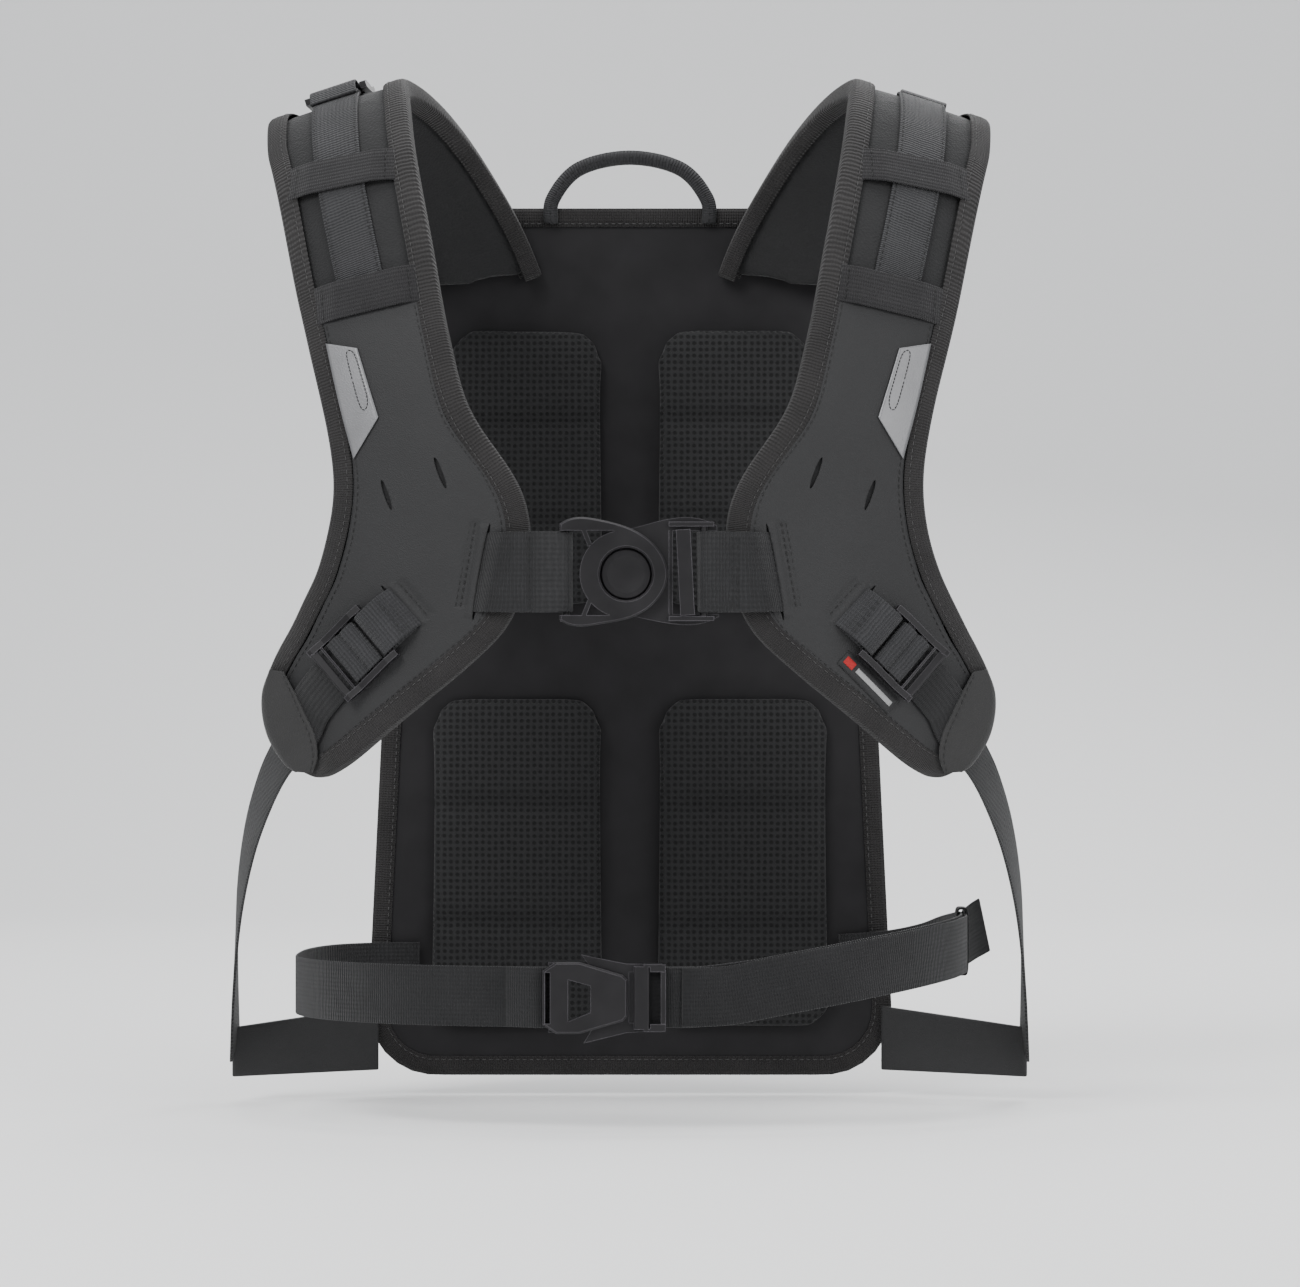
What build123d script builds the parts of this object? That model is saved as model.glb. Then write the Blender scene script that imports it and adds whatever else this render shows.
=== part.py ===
"""Chest harness vest: two padded shoulder yokes, a back panel, a round magnetic chest buckle and a waist belt.

Millimetres. +X is the wearer's left, +Y the wearer's back, +Z up. The origin is on the wearer's midline,
at mid depth of the waist, level with the middle of the waist belt. Left-side pieces are modelled and the
right-side ones mirrored, except at the two buckles, whose halves differ.
"""
import math
import os

from build123d import *

os.makedirs("parts", exist_ok=True)

# ---- the wearer's trunk, which every soft piece lies on
TRUNK_CENTRE_Y = 15.0
TRUNK_HALF_WIDTH = 205.0
TRUNK_POWER = 2.4
CHEST_DEPTH = 126.0
BACK_DEPTH = 105.0
CHEST_Z = 250.0
CREST_Z, CREST_X, CREST_SLOPE = 455.0, 113.0, 0.31
CREST, FRONT = 90.0, 0.0

# ---- soft goods
FOAM = 9.0
TAPE = 1.2
TAPE_COVER = 10.0
TAPE_RETURN = 8.0
PANEL = 1.6
FACE = FOAM + PANEL
WEBBING = 1.6
STRIP_WIDTH, BAND_WIDTH = 25.0, 20.0
CHEST_WEB_WIDTH, BELT_WIDTH = 40.0, 30.0
GAP = 0.3

# ---- chest buckle
CHEST_STRAP_Z = 208.0
CHEST_STRAP_Y = -122.5
SLIT_X = 64.0
RING_BAR_X, BASE_BAR_X = -30.5, 37.0
RING_RADIUS, RING_HOLE, DISC_RADIUS = 21.2, 12.9, 12.2
DISC_X = -1.0
CHEST_BAR, CHEST_LAYER = 1.8, 1.4

# ---- waist belt
BELT_CENTRE_Y, BELT_HALF_WIDTH, BELT_DEPTH, BELT_POWER = 4.0, 170.0, 112.0, 2.3
BELT_HINGE_X = 138.0
BELT_RISE = 22.0

# ---- back panel
PLATE_FRONT, PLATE_THICK, COVER_THICK = 112.0, 2.5, 1.0
PLATE_TOP, PLATE_BOTTOM = 405.0, -55.0
PLATE_TOP_WIDTH, PLATE_BOTTOM_WIDTH, PLATE_CORNER = 236.0, 280.0, 34.0
PAD_THICK = 13.0


def mirrored(shape):
    return mirror(shape, about=Plane.YZ)


def crest_height(x):
    return CREST_Z - CREST_SLOPE * (abs(x) - CREST_X)


def trunk_point(x, angle):
    """A point on the trunk: angle 90 is the shoulder crest, 0 the chest, negative below it, 180 the back."""
    share = (1 - (abs(x) / TRUNK_HALF_WIDTH) ** TRUNK_POWER) ** (1 / TRUNK_POWER)
    rise, turn = crest_height(x) - CHEST_Z, math.radians(angle)
    if angle < FRONT:
        return Vector(x, TRUNK_CENTRE_Y - CHEST_DEPTH * share, CHEST_Z + rise * turn)
    depth = (CHEST_DEPTH if angle < CREST else BACK_DEPTH) * share
    return Vector(x, TRUNK_CENTRE_Y - depth * math.cos(turn), CHEST_Z + rise * math.sin(turn))


def trunk_normal(x, angle):
    step = 0.05
    across = trunk_point(x + step, angle) - trunk_point(x - step, angle)
    along = trunk_point(x, angle + step) - trunk_point(x, angle - step)
    return across.cross(along).normalized()


def on_trunk(x, angle, lift=0.0):
    return trunk_point(x, angle) + trunk_normal(x, angle) * lift


def front_angle(x, z):
    """The trunk angle of a place on the chest, from its width and height."""
    share = (z - CHEST_Z) / (crest_height(x) - CHEST_Z)
    return math.degrees(math.asin(share) if share > 0 else share)


# The yoke's two edges, as (x, z) on the chest, after (x, angle) from its back end to the crest.
YOKE_BACK_ROWS = [((48, 148), (108, 148)), ((58, 140), (120, 140)), ((76, 127), (141, 127)), ((99, 108), (167, 108)),
                  ((113, 90), (181, 90)), ((111, 68), (179, 68))]
YOKE_INNER = [(105.5, 407), (95, 354), (88.5, 322), (79, 288), (57, 256), (49.5, 234), (50, 214), (54, 196),
              (63, 179), (80, 163), (98, 148), (118, 131.5), (137, 115.5), (150, 108)]
YOKE_OUTER = [(175, 407), (162, 354), (154.4, 322), (146, 288), (141, 258), (142.5, 234), (148, 212),
              (154.5, 197), (162, 181), (169, 168), (174, 155), (174, 141), (169.5, 125), (160, 113)]


def yoke_rows():
    front = [((a, front_angle(a, b)), (c, front_angle(c, d))) for (a, b), (c, d) in zip(YOKE_INNER, YOKE_OUTER)]
    return YOKE_BACK_ROWS + front


ROWS = yoke_rows()
PANEL_TOP_ROW = 7


def inset_rows(rows, inset):
    """The rows drawn in from both edges by the inset, measured square to each edge."""
    ends = [[on_trunk(*row[side]) for row in rows] for side in (0, 1)]
    done = []
    for i, row in enumerate(rows):
        chord = ends[1][i] - ends[0][i]
        before, after = max(i - 1, 0), min(i + 1, len(rows) - 1)
        shares = []
        for side in (0, 1):
            edge = ends[side][after] - ends[side][before]
            slant = max(chord.normalized().cross(edge.normalized()).length, 0.5)
            shares.append(min(inset / slant / chord.length, 0.45))
        (a, b), (c, d) = row
        near, far = shares[0], 1 - shares[1]
        done.append(((a + (c - a) * near, b + (d - b) * near), (a + (c - a) * far, b + (d - b) * far)))
    return done


def flat_points(points, origin, x_dir, normal):
    """Points moved onto the plane through origin that holds x_dir and normal."""
    off = x_dir.cross(normal).normalized()
    return [p - off * (p - origin).dot(off) for p in points]


def row_section(row, low, high, count=5):
    """One closed section of a draped sheet, between two lifts off the trunk."""
    (a, b), (c, d) = row
    shares = [i / (count - 1) for i in range(count)]
    spots = [(a + (c - a) * t, b + (d - b) * t) for t in shares]
    under, over = [on_trunk(x, g, low) for x, g in spots], [on_trunk(x, g, high) for x, g in spots]
    middle = spots[count // 2]
    flat = flat_points(under + over, on_trunk(*middle), under[-1] - under[0], trunk_normal(*middle))
    under, over = flat[:count], flat[count:]
    return Wire.make_polygon(under + over[::-1], close=True)


def draped(rows, low, high):
    return Solid.make_loft([row_section(row, low, high) for row in rows], ruled=True)


def strip_on(frames, width, low, high):
    """A flat strap through (point, along, normal) frames, as a loft of rectangles."""
    wires = []
    for point, along, normal in frames:
        across = along.cross(normal).normalized() * (width / 2)
        up = normal.normalized()
        corners = [point - across + up * low, point + across + up * low,
                   point + across + up * high, point - across + up * high]
        wires.append(Wire.make_polygon(corners, close=True))
    return Solid.make_loft(wires, ruled=True)


def trunk_frames(spots):
    """Frames along a chain of (x, angle) places on the trunk."""
    points = [on_trunk(*spot) for spot in spots]
    frames = []
    for i, spot in enumerate(spots):
        along = points[min(i + 1, len(points) - 1)] - points[max(i - 1, 0)]
        normal = trunk_normal(*spot)
        along = (along - normal * along.dot(normal)).normalized()
        frames.append((points[i], along, normal))
    return frames


def yoke_spot(place, across):
    """A place on the yoke: row number, whole or part, and share of the way from inner to outer edge."""
    i = min(int(place), len(ROWS) - 2)
    part = place - i
    ends = [[ROWS[i][s][k] * (1 - part) + ROWS[i + 1][s][k] * part for k in (0, 1)] for s in (0, 1)]
    return tuple(ends[0][k] * (1 - across) + ends[1][k] * across for k in (0, 1))


def chest_spot(x, z):
    return x, front_angle(x, z)


# ---- the yoke
def yoke_pad():
    return draped(ROWS, 0, FOAM)


def yoke_binding():
    """The tape folded round the yoke's edge, from its inner back end round the front to its outer back end."""
    spots = [row[0] for row in ROWS] + [row[1] for row in reversed(ROWS)]
    points = [on_trunk(*spot) for spot in spots]
    corners = [(-TAPE_COVER, FOAM), (-TAPE_COVER, FOAM + TAPE), (TAPE, FOAM + TAPE), (TAPE, -TAPE),
               (-TAPE_RETURN, -TAPE), (-TAPE_RETURN, 0), (0, 0), (0, FOAM)]
    wires = []
    for i, spot in enumerate(spots):
        along = points[min(i + 1, len(points) - 1)] - points[max(i - 1, 0)]
        normal = trunk_normal(*spot)
        outward = along.cross(normal).normalized()
        wires.append(Wire.make_polygon([points[i] + outward * n + normal * t for n, t in corners], close=True))
    return Solid.make_loft(wires, ruled=True)


def panel_rows():
    return inset_rows(ROWS, TAPE_COVER + GAP)[PANEL_TOP_ROW:-1]


def chest_plane(x, z, toward_x, toward_z, lift):
    """A plane on the chest at one place, with its X pointing at another."""
    return trunk_plane(chest_spot(x, z), chest_spot(toward_x, toward_z), lift)


def trunk_plane(spot, toward, lift):
    centre, normal = on_trunk(*spot, lift), trunk_normal(*spot)
    along = on_trunk(*toward, lift) - centre
    along = (along - normal * along.dot(normal)).normalized()
    return Plane(origin=centre, x_dir=along, z_dir=normal)


def yoke_panel():
    """The smooth face panel, with two slits for clipping things to."""
    panel = draped(panel_rows(), FOAM + 0.1, FACE + 0.1)
    for (x, z), (low_x, low_z) in SLITS:
        plane = chest_plane((x + low_x) / 2, (z + low_z) / 2, low_x, low_z, FOAM)
        panel -= plane * extrude(SlotOverall(15, 3), amount=6, both=True)
    return panel


SLITS = [((118.2, 254), (113.5, 240)), ((92.8, 264.6), (87.5, 250.4))]


def patch_on_chest(corners, low, high):
    """A flat patch between two lifts, from rows of (inner, outer) places on the chest."""
    rows = [(chest_spot(*inner), chest_spot(*outer)) for inner, outer in corners]
    return draped(rows, low, high)


def reflector():
    return patch_on_chest([((129.8, 318), (144.9, 320.7)), ((124.6, 301), (138.5, 292.5)),
                           ((119.5, 284.5), (131.2, 264.7))], FACE + 0.3, FACE + 1.1)


def tip_cap():
    """The fabric corner sewn over the yoke's lower outer tip."""
    return patch_on_chest([((161, 160), (171.5, 161)), ((155, 149), (174.8, 149)), ((150, 138), (174.2, 138)),
                           ((146.5, 128), (171, 127)), ((148, 117), (163, 117))], FACE + 2.3, FACE + 3.3)


BAND_LIFT = FOAM + 2.9
BANDS = {"band_lower": ((93.5, 351.5), (158.5, 337.5)), "band_upper": ((106, 410), (174.5, 399))}


def cross_band(inner, outer):
    """A keeper band over the webbing on the yoke, its ends on the laps of the binding."""
    shares = [0.1 + 0.8 * i / 6 for i in range(7)]
    spots = [chest_spot(inner[0] + (outer[0] - inner[0]) * t, inner[1] + (outer[1] - inner[1]) * t) for t in shares]
    middle, normal = on_trunk(*spots[3]), trunk_normal(*spots[3])
    across = on_trunk(*spots[-1]) - on_trunk(*spots[0])
    across = (across - normal * across.dot(normal)).normalized()
    lifts = [BAND_LIFT - 1.0] + [BAND_LIFT] * 5 + [BAND_LIFT - 1.0]
    over = [on_trunk(*spot, lift) - middle for spot, lift in zip(spots, lifts)]
    line = [(p.dot(across), p.dot(normal)) for p in over]
    plane = Plane(origin=middle, x_dir=across, z_dir=across.cross(normal))
    return plane * extrude(trace(Polyline(*line), 1.2), amount=BAND_WIDTH / 2, both=True)


# ---- ladder locks
LOCK_LENGTH, LOCK_RAIL, LOCK_BAR = 31.0, 3.2, 1.7
LOCK_LIFT = 13.9
LOCK_SPOT, LOCK_TOWARD = (120.2, 179.1), (140.6, 157.5)
LIFTER_ANGLES = {"right": 92.0, "left": 103.0}
LIFTER_X = 147.0


def ladder_lock():
    """A 25 mm ladder lock: anchor bar on the origin along Y, free end towards +X, face up."""
    inner = STRIP_WIDTH / 2 + 0.8
    rail_shape = Polyline((-2.6, -1.7), (LOCK_LENGTH - 6, -1.7), (LOCK_LENGTH, 0.6), (LOCK_LENGTH + 1.5, 3.2),
                          (LOCK_LENGTH - 1, 3.6), (LOCK_LENGTH - 8, 1.9), (4, 3.0), (-2.6, 1.7), close=True)
    side = extrude(Plane.XZ * make_face(rail_shape), amount=-LOCK_RAIL)
    frame = Pos(0, inner, 0) * side + Pos(0, -inner - LOCK_RAIL, 0) * side
    span = 2 * inner + 1
    frame += Rot(90, 0, 0) * Cylinder(LOCK_BAR, span)
    for x in (9.5, 18.5):
        bar = Pos(x, 0, 0.2) * Box(5.0, span, 2.2)
        frame += fillet(bar.edges().filter_by(Axis.Y), 0.9)
    lip = Pos(LOCK_LENGTH - 1.0, 0, 2.2) * Rot(0, -24, 0) * Box(4.2, span, 1.9)
    frame += fillet(lip.edges().filter_by(Axis.Y), 0.8)
    frame += Pos(LOCK_LENGTH - 5.6, 0, 1.3) * Box(1.2, span, 1.6)
    return frame


def web_loop(width, reach, bar_radius, layer):
    """Webbing folded round a bar on the origin along Z; its two layers meet at -X, in a rounded hinge end."""
    inner, outer = bar_radius + GAP, bar_radius + GAP + layer
    skin = make_hull(Circle(outer).edges() + (Pos(-reach, 0) * Circle(layer)).edges())
    eye = make_hull(Circle(inner).edges() + (Pos(-reach + 2 * layer + 3, 0) * Circle(0.2)).edges())
    return extrude(skin - eye, amount=width / 2, both=True)


def lock_anchor(reach):
    """The sewn webbing loop that holds a ladder lock by its anchor bar, in the lock's own frame."""
    inner, outer = LOCK_BAR + GAP, LOCK_BAR + GAP + WEBBING
    profile = Circle(outer) + Pos(-reach / 2, 0) * Rectangle(reach, 2 * outer)
    profile -= Circle(inner) + Pos(-(reach - 6) / 2, 0) * Rectangle(reach - 6, 2 * inner)
    return Rot(90, 0, 0) * extrude(profile, amount=STRIP_WIDTH / 2, both=True)


def lock_turn():
    """The strap's turn over the two middle bars of a ladder lock, in the lock's own frame."""
    line = FilletPolyline((5.6, -1.8), (5.6, 2.1), (13.5, 2.1), (13.5, 0.2), (14.5, 0.2), (14.5, 2.1),
                          (22.4, 2.1), (22.4, -1.8), radius=0.45)
    return extrude(Plane.XZ * trace(line, 0.8), amount=STRIP_WIDTH / 2, both=True)


def adjuster_plane():
    return trunk_plane(chest_spot(*LOCK_SPOT), chest_spot(*LOCK_TOWARD), LOCK_LIFT)


def lifter_plane(side):
    angle = LIFTER_ANGLES[side]
    return trunk_plane((LIFTER_X, angle), (LIFTER_X - 4, angle + 12), LOCK_LIFT)


def shoulder_web(side):
    """The webbing strip up the yoke from the lower band, ending in the loop that holds the crest lock."""
    end = LIFTER_ANGLES[side] - 2.5
    spots = [chest_spot(131, 357), chest_spot(135, 374), chest_spot(140, 396), chest_spot(143.5, 414),
             (146, 68), (LIFTER_X, 78), (LIFTER_X, (78 + end) / 2), (LIFTER_X, end)]
    strip = strip_on(trunk_frames(spots), STRIP_WIDTH, FOAM, FOAM + WEBBING)
    return strip + lifter_plane(side) * lock_anchor(15)


def lifter_strap(side):
    """From under the crest lock back and down to the top of the panel."""
    plane = lifter_plane(side)
    start = plane.origin + plane.x_dir * 25 - plane.z_dir * 3.2
    foot = Vector(98, PLATE_FRONT - 2.6, PLATE_TOP - 24)
    bend = foot + Vector(2, -2, 17)
    points = [start, start + (bend - start) * 0.5 + Vector(0, 0, 4), bend, foot]
    frames = []
    for i, point in enumerate(points):
        along = plane.x_dir if i == 0 else points[min(i + 1, 3)] - points[i - 1]
        if i == 3:
            along = Vector(-0.1, 0, -1)
        normal = plane.z_dir * (1 - i / 3) + Vector(0, 1, 0) * (i / 3)
        along = along.normalized()
        frames.append((point, along, (normal - along * normal.dot(along)).normalized()))
    return strip_on(frames, STRIP_WIDTH, -WEBBING / 2, WEBBING / 2)


# ---- chest buckle, seen from the front with X across and Z up, depth Y
def front_plate(outline, near, far):
    """A sketch of the front view, given depth between two values of Y; the smaller is nearer the front."""
    return Pos(0, near, 0) * extrude(Plane.XZ * outline, amount=-(far - near))


def upright(x, y, z, radius, height):
    return Pos(x, y, z) * Cylinder(radius, height)


def front_disc(y_near, y_far, radius):
    return Pos(DISC_X, (y_near + y_far) / 2, 0) * Rot(90, 0, 0) * Cylinder(radius, y_far - y_near)


def magnet_ring(near, far, allowance=0.0):
    outline = Circle(18.0 + allowance) - Circle(15.2 - allowance)
    outline -= Rectangle(50, 12 - 2 * allowance)
    return front_plate(Pos(DISC_X, 0) * outline, near - allowance, far + allowance)


def ring_half():
    """The front half: a round frame whose hole takes the disc, and a bar for its webbing."""
    rim = Spline((-33.5, 24.5), (-26, 27.6), (-14, 26.6), (2, 21.9), (15.5, 11), (19.2, 0), (15.5, -11),
                 (3, -20.8), (-14, -24.6), (-26, -25.6), (-33.5, -22.5))
    half = front_plate(make_face([rim, Line((-33.5, -22.5), (-33.5, 24.5))]), -5.5, 0)
    half -= front_disc(-6, 1, RING_HOLE)
    half = chamfer(half.faces().sort_by(Axis.Y)[0].edges(), 0.8)
    ring = Pos(DISC_X - 1.4, 0) * Circle(RING_RADIUS)
    spokes = Pos(-20.5, 18.5) * Rot(0, 0, 22) * Rectangle(2.2, 10)
    spokes += Pos(-20.5, -17.5) * Rot(0, 0, -22) * Rectangle(2.2, 10)
    half -= front_plate(Pos(-20.5, 0.5) * Rectangle(27, 41.4) - ring - spokes, -6, 1)
    half += upright(RING_BAR_X, 0, 1, CHEST_BAR, 45)
    for z in (24, -22.5):
        half += Pos(RING_BAR_X, 0, z) * Box(5.5, 6, 1.6)
    return half - magnet_ring(-3.2, -1.2, 0.15)


def base_half():
    """The rear half: a plate behind the ring, a pocket for the disc, two webbing bars and a thin rib."""
    rim = Spline((-12, 20.5), (2, 22.4), (20, 27), (34, 27.3), (43.5, 23.6))
    low = Spline((-12, -17.5), (4, -21), (20, -24.2), (34, -24.6), (44.5, -20.8))
    outline = make_face([rim, Line((43.5, 23.6), (44.5, -20.8)), low, Line((-12, -17.5), (-12, 20.5))])
    outline += Pos(DISC_X, 0) * Circle(19.0)
    window = Pos(32.4, 0.8) * Rectangle(25, 40.8)
    bars = Pos(28, 0.8) * Rot(0, 0, 3) * Rectangle(7, 44) + Pos(21, 0.8) * Rectangle(1.6, 44)
    outline -= window - bars
    half = front_plate(outline, 0.4, 3.6)
    half += front_disc(0.4, 7.0, 16.5)
    half += front_plate(Pos(28, 0.8) * Rot(0, 0, 3) * Rectangle(7, 42), -3.6, 0.6)
    for z in (24.4, -21.8):
        half += Pos(31, -0.4, z) * Box(22, 4.4, 2.2)
    half += upright(BASE_BAR_X, 0, 1.2, CHEST_BAR, 44)
    half -= front_disc(0.2, 5.4, DISC_RADIUS + GAP)
    half -= front_disc(0.2, 12, 4.3)
    return half - magnet_ring(1.0, 3.0, 0.15)


def press_disc():
    """The round button: a dished disc on a stem whose snap head holds it behind the base."""
    disc = front_disc(-2.5, 0.6, DISC_RADIUS)
    disc = fillet(disc.edges().sort_by(Axis.Y)[0], 0.8)
    dish = Pos(DISC_X, -62.6, 0) * Sphere(60.8)
    return (disc - dish) + front_disc(0.5, 7.9, 4.0) + front_disc(7.4, 8.4, 4.9)


def disc_spring():
    """The coil between the disc and the floor of its pocket."""
    coil = Helix(pitch=1.35, height=4.0, radius=7.0)
    wire = sweep(Plane(coil @ 0, z_dir=coil % 0) * Circle(0.3), path=coil)
    return Pos(DISC_X, 0.98, 0) * Rot(-90, 0, 0) * wire


def on_chest(shape):
    return Pos(0, CHEST_STRAP_Y, CHEST_STRAP_Z) * shape


def chest_web(sign):
    """The 40 mm strap from its hinge line at the yoke's slit to the bar of its buckle half."""
    bar_x = BASE_BAR_X if sign > 0 else -RING_BAR_X
    loop = web_loop(CHEST_WEB_WIDTH, SLIT_X - bar_x, CHEST_BAR, CHEST_LAYER)
    placed = Pos(bar_x, 0, 1) * Rot(0, 0, 180) * loop
    return on_chest(placed if sign > 0 else mirrored(placed))


def chest_anchor():
    """The end of the chest strap, through the slit and sewn under the face panel."""
    z = CHEST_STRAP_Z + 1
    spots = [(66.0, -122.0), (69.5, -119.6), (73, -115.6), (84, -112.4)]
    points = [Vector(x, y, z) for x, y in spots]
    frames = []
    for i, point in enumerate(points):
        along = (points[min(i + 1, 3)] - points[max(i - 1, 0)]).normalized()
        frames.append((point, along, along.cross(Vector(0, 0, 1))))
    return strip_on(frames, CHEST_WEB_WIDTH, -0.7, 0.7)


# ---- waist belt
HOOK_BAR_X, RECEIVER_BAR_X = -37.0, 12.2
BELT_BAR = 1.7


def belt_rise(x):
    return BELT_RISE * (max(x - 45, 0) / 130) ** 0.95


def belt_point(x, sign):
    share = (1 - (x / BELT_HALF_WIDTH) ** BELT_POWER) ** (1 / BELT_POWER)
    return Vector(sign * x, BELT_CENTRE_Y - BELT_DEPTH * share, belt_rise(x) if sign > 0 else 0.0)


def path_frames(points):
    """Frames along points round the waist: normals level and outward, end sections upright."""
    frames = []
    for i, point in enumerate(points):
        along = points[min(i + 1, len(points) - 1)] - points[max(i - 1, 0)]
        flat = Vector(along.X, along.Y, 0).normalized()
        normal = flat.cross(Vector(0, 0, 1))
        if normal.dot(Vector(point.X, point.Y - BELT_CENTRE_Y, 0)) < 0:
            normal = normal * -1
        frames.append((point, flat, normal))
    return frames


def belt_web(sign):
    """The moving front part of the belt, from its hinge line to the bar of its buckle half."""
    bar_x = RECEIVER_BAR_X if sign > 0 else -HOOK_BAR_X
    bar = Vector(sign * bar_x, BELT_CENTRE_Y - BELT_DEPTH, 0)
    tail = belt_point(bar_x + 22, sign)
    lean = math.degrees(math.atan2(tail.Y - bar.Y, 22))
    loop = web_loop(BELT_WIDTH, 22, BELT_BAR, 1.4)
    loop = Rot(0, 0, 180 + lean) * loop
    loop = Pos(bar_x, bar.Y, 0) * loop
    widths = [bar_x + 21, 62, 80, 98, 114, 128, BELT_HINGE_X]
    frames = path_frames([belt_point(x, sign) for x in widths])
    strip = strip_on(frames, BELT_WIDTH, -0.8, 0.8)
    hinge = belt_point(BELT_HINGE_X, sign)
    knuckle = Pos(hinge.X, hinge.Y, hinge.Z) * Cylinder(0.8, BELT_WIDTH)
    return (loop if sign > 0 else mirrored(loop)) + strip + knuckle


def belt_side(sign):
    """The fixed part of the belt, from the back panel round the flank to the hinge line."""
    flank = [(112, 107.5), (137, 104), (154, 90), (163.5, 68), (168.5, 42), (170, 14), (169.4, -12)]
    points = [Vector(sign * x, y, 0) for x, y in flank]
    points += [belt_point(x, sign) - Vector(0, 0, belt_point(x, sign).Z) for x in (165, 159, 150, BELT_HINGE_X + 1.3)]
    lift = belt_rise(170) if sign > 0 else 0.0
    rises = [lift * 0.2, lift * 0.3, lift * 0.5, lift * 0.75, lift * 0.9] + [lift] * 2
    rises += [belt_rise(x) if sign > 0 else 0.0 for x in (165, 159, 150, BELT_HINGE_X + 1.3)]
    points = [point + Vector(0, 0, rise) for point, rise in zip(points, rises)]
    return strip_on(path_frames(points), BELT_WIDTH, -0.8, 0.8)


def belt_tail():
    """The spare end of the left belt, lying over the moving part."""
    frames = path_frames([belt_point(x, 1) for x in (30, 50, 68, 86, 104, 120, 134)])
    return strip_on(frames, BELT_WIDTH - 1, 3.6, 5.0)


def belt_keeper():
    """The elastic band that holds the belt's spare end on the left flank."""
    point = Vector(170.2, 8, belt_rise(170))
    outer = Box(6.4, 16, BELT_WIDTH + 5)
    keeper = outer - Box(4.2, 20, BELT_WIDTH + 2.4)
    return Pos(point.X + 0.6, point.Y, point.Z) * keeper


def on_belt(shape):
    return Pos(0, BELT_CENTRE_Y - BELT_DEPTH, 0) * shape


def cheeks(x, half_height, length, near, far):
    walls = Pos(x, (near + far) / 2, half_height - 0.7) * Box(length, far - near, 1.4)
    return walls + mirror(walls, about=Plane.XY)


def hook_half():
    """The V-shaped front half of the waist buckle."""
    outline = make_face(Polyline((-42, 13.2), (-35.5, 17.6), (-24, 17.6), (-2.6, 11.2), (-0.4, 9), (-0.4, -9),
                                 (-2.6, -11.4), (-24, -17.6), (-35.5, -17.6), (-42, -13.2), close=True))
    half = front_plate(outline, -8.4, -3.9)
    half = chamfer(half.faces().sort_by(Axis.Y)[0].edges(), 0.9)
    mouth = make_face(Polyline((-29.5, 9), (-18.5, 6), (-18.5, -7), (-29.5, -11.5), close=True))
    half -= front_plate(mouth + Pos(-39.6, 0) * Rectangle(2.4, 25), -9, -3)
    half += cheeks(HOOK_BAR_X + 1, 17.2, 6.5, -4.2, 2.4)
    half += upright(HOOK_BAR_X, 0, 0, BELT_BAR, 33)
    half += front_plate(Pos(-31.2, 0) * Rectangle(3.4, 31), -4.2, -0.6)
    return half - magnet_block(-11, -6.6, -4.9, 0.15)


def magnet_block(x, near, far, allowance=0.0):
    return front_plate(Pos(x, 0) * Rectangle(7 + 2 * allowance, 12 + 2 * allowance), near - allowance, far + allowance)


def receiver_half():
    """The rear half of the waist buckle: guide wings behind the hook half, and a frame beside it."""
    outline = make_face(Polyline((-23, 21), (-1, 16.6), (11, 16.4), (16.5, 14.5), (18.6, 10), (18.6, -10.5),
                                 (16.5, -14.5), (11, -16.6), (-1, -17.4), (-22, -22.5), (-13, -8), (-13, 7), close=True))
    outline -= Pos(12.2, 0) * Rectangle(7.8, 30.4) + Pos(1.6, 0) * Rectangle(2.4, 25)
    half = front_plate(outline, -3.6, -1.2)
    block = front_plate(Pos(6.6, 0) * Rectangle(7.6, 31), -8.0, -3.4)
    half += fillet(block.edges().filter_by(Axis.Z).group_by(Axis.Y)[0], 0.9)
    half -= front_plate(Pos(17.2, 0) * Rectangle(4, 31), -3.9, -1.0)
    half += front_plate(Pos(17.2, 0) * Rectangle(2.4, 27), -7.4, -4.2)
    half += cheeks(RECEIVER_BAR_X, 16.6, 9, -8.0, 2.4)
    half += front_plate(Pos(14.5, 14.6) * Rectangle(7.6, 3.6), -8.0, -3.4)
    half += front_plate(Pos(14.5, -14.6) * Rectangle(7.6, 3.6), -8.0, -3.4)
    half += upright(RECEIVER_BAR_X, 0, 0, BELT_BAR, 33)
    return half - magnet_block(-6.5, -3.0, -1.8, 0.15)


# ---- back panel
def panel_outline(inset=0.0):
    top, bottom = PLATE_TOP_WIDTH / 2 - inset, PLATE_BOTTOM_WIDTH / 2 - inset
    face = make_face(Polyline((-bottom, PLATE_BOTTOM + inset), (bottom, PLATE_BOTTOM + inset),
                              (top, PLATE_TOP - inset), (-top, PLATE_TOP - inset), close=True))
    return fillet(face.vertices(), PLATE_CORNER - inset)


def plate_layer(inset, near, far):
    return front_plate(panel_outline(inset), near, far)


COVER_BACK = PLATE_FRONT + PLATE_THICK + COVER_THICK


def back_binding():
    """The tape folded round the edge of the panel and its cover."""
    ring = plate_layer(-TAPE, PLATE_FRONT - TAPE, COVER_BACK + 0.2)
    return ring - plate_layer(0.05, PLATE_FRONT - 0.05, COVER_BACK + 2) - plate_layer(9, PLATE_FRONT - 3, COVER_BACK + 3)


def back_pad(centre_x, bottom, top, bottom_width, top_width):
    half_low, half_high = bottom_width / 2, top_width / 2
    face = make_face(Polyline((centre_x - half_low, bottom), (centre_x + half_low, bottom),
                              (centre_x + half_high, top), (centre_x - half_high, top), close=True))
    pad = front_plate(fillet(face.vertices(), 18), PLATE_FRONT - PAD_THICK - GAP, PLATE_FRONT - GAP)
    return fillet(pad.faces().sort_by(Axis.Y)[0].edges(), 4)


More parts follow.
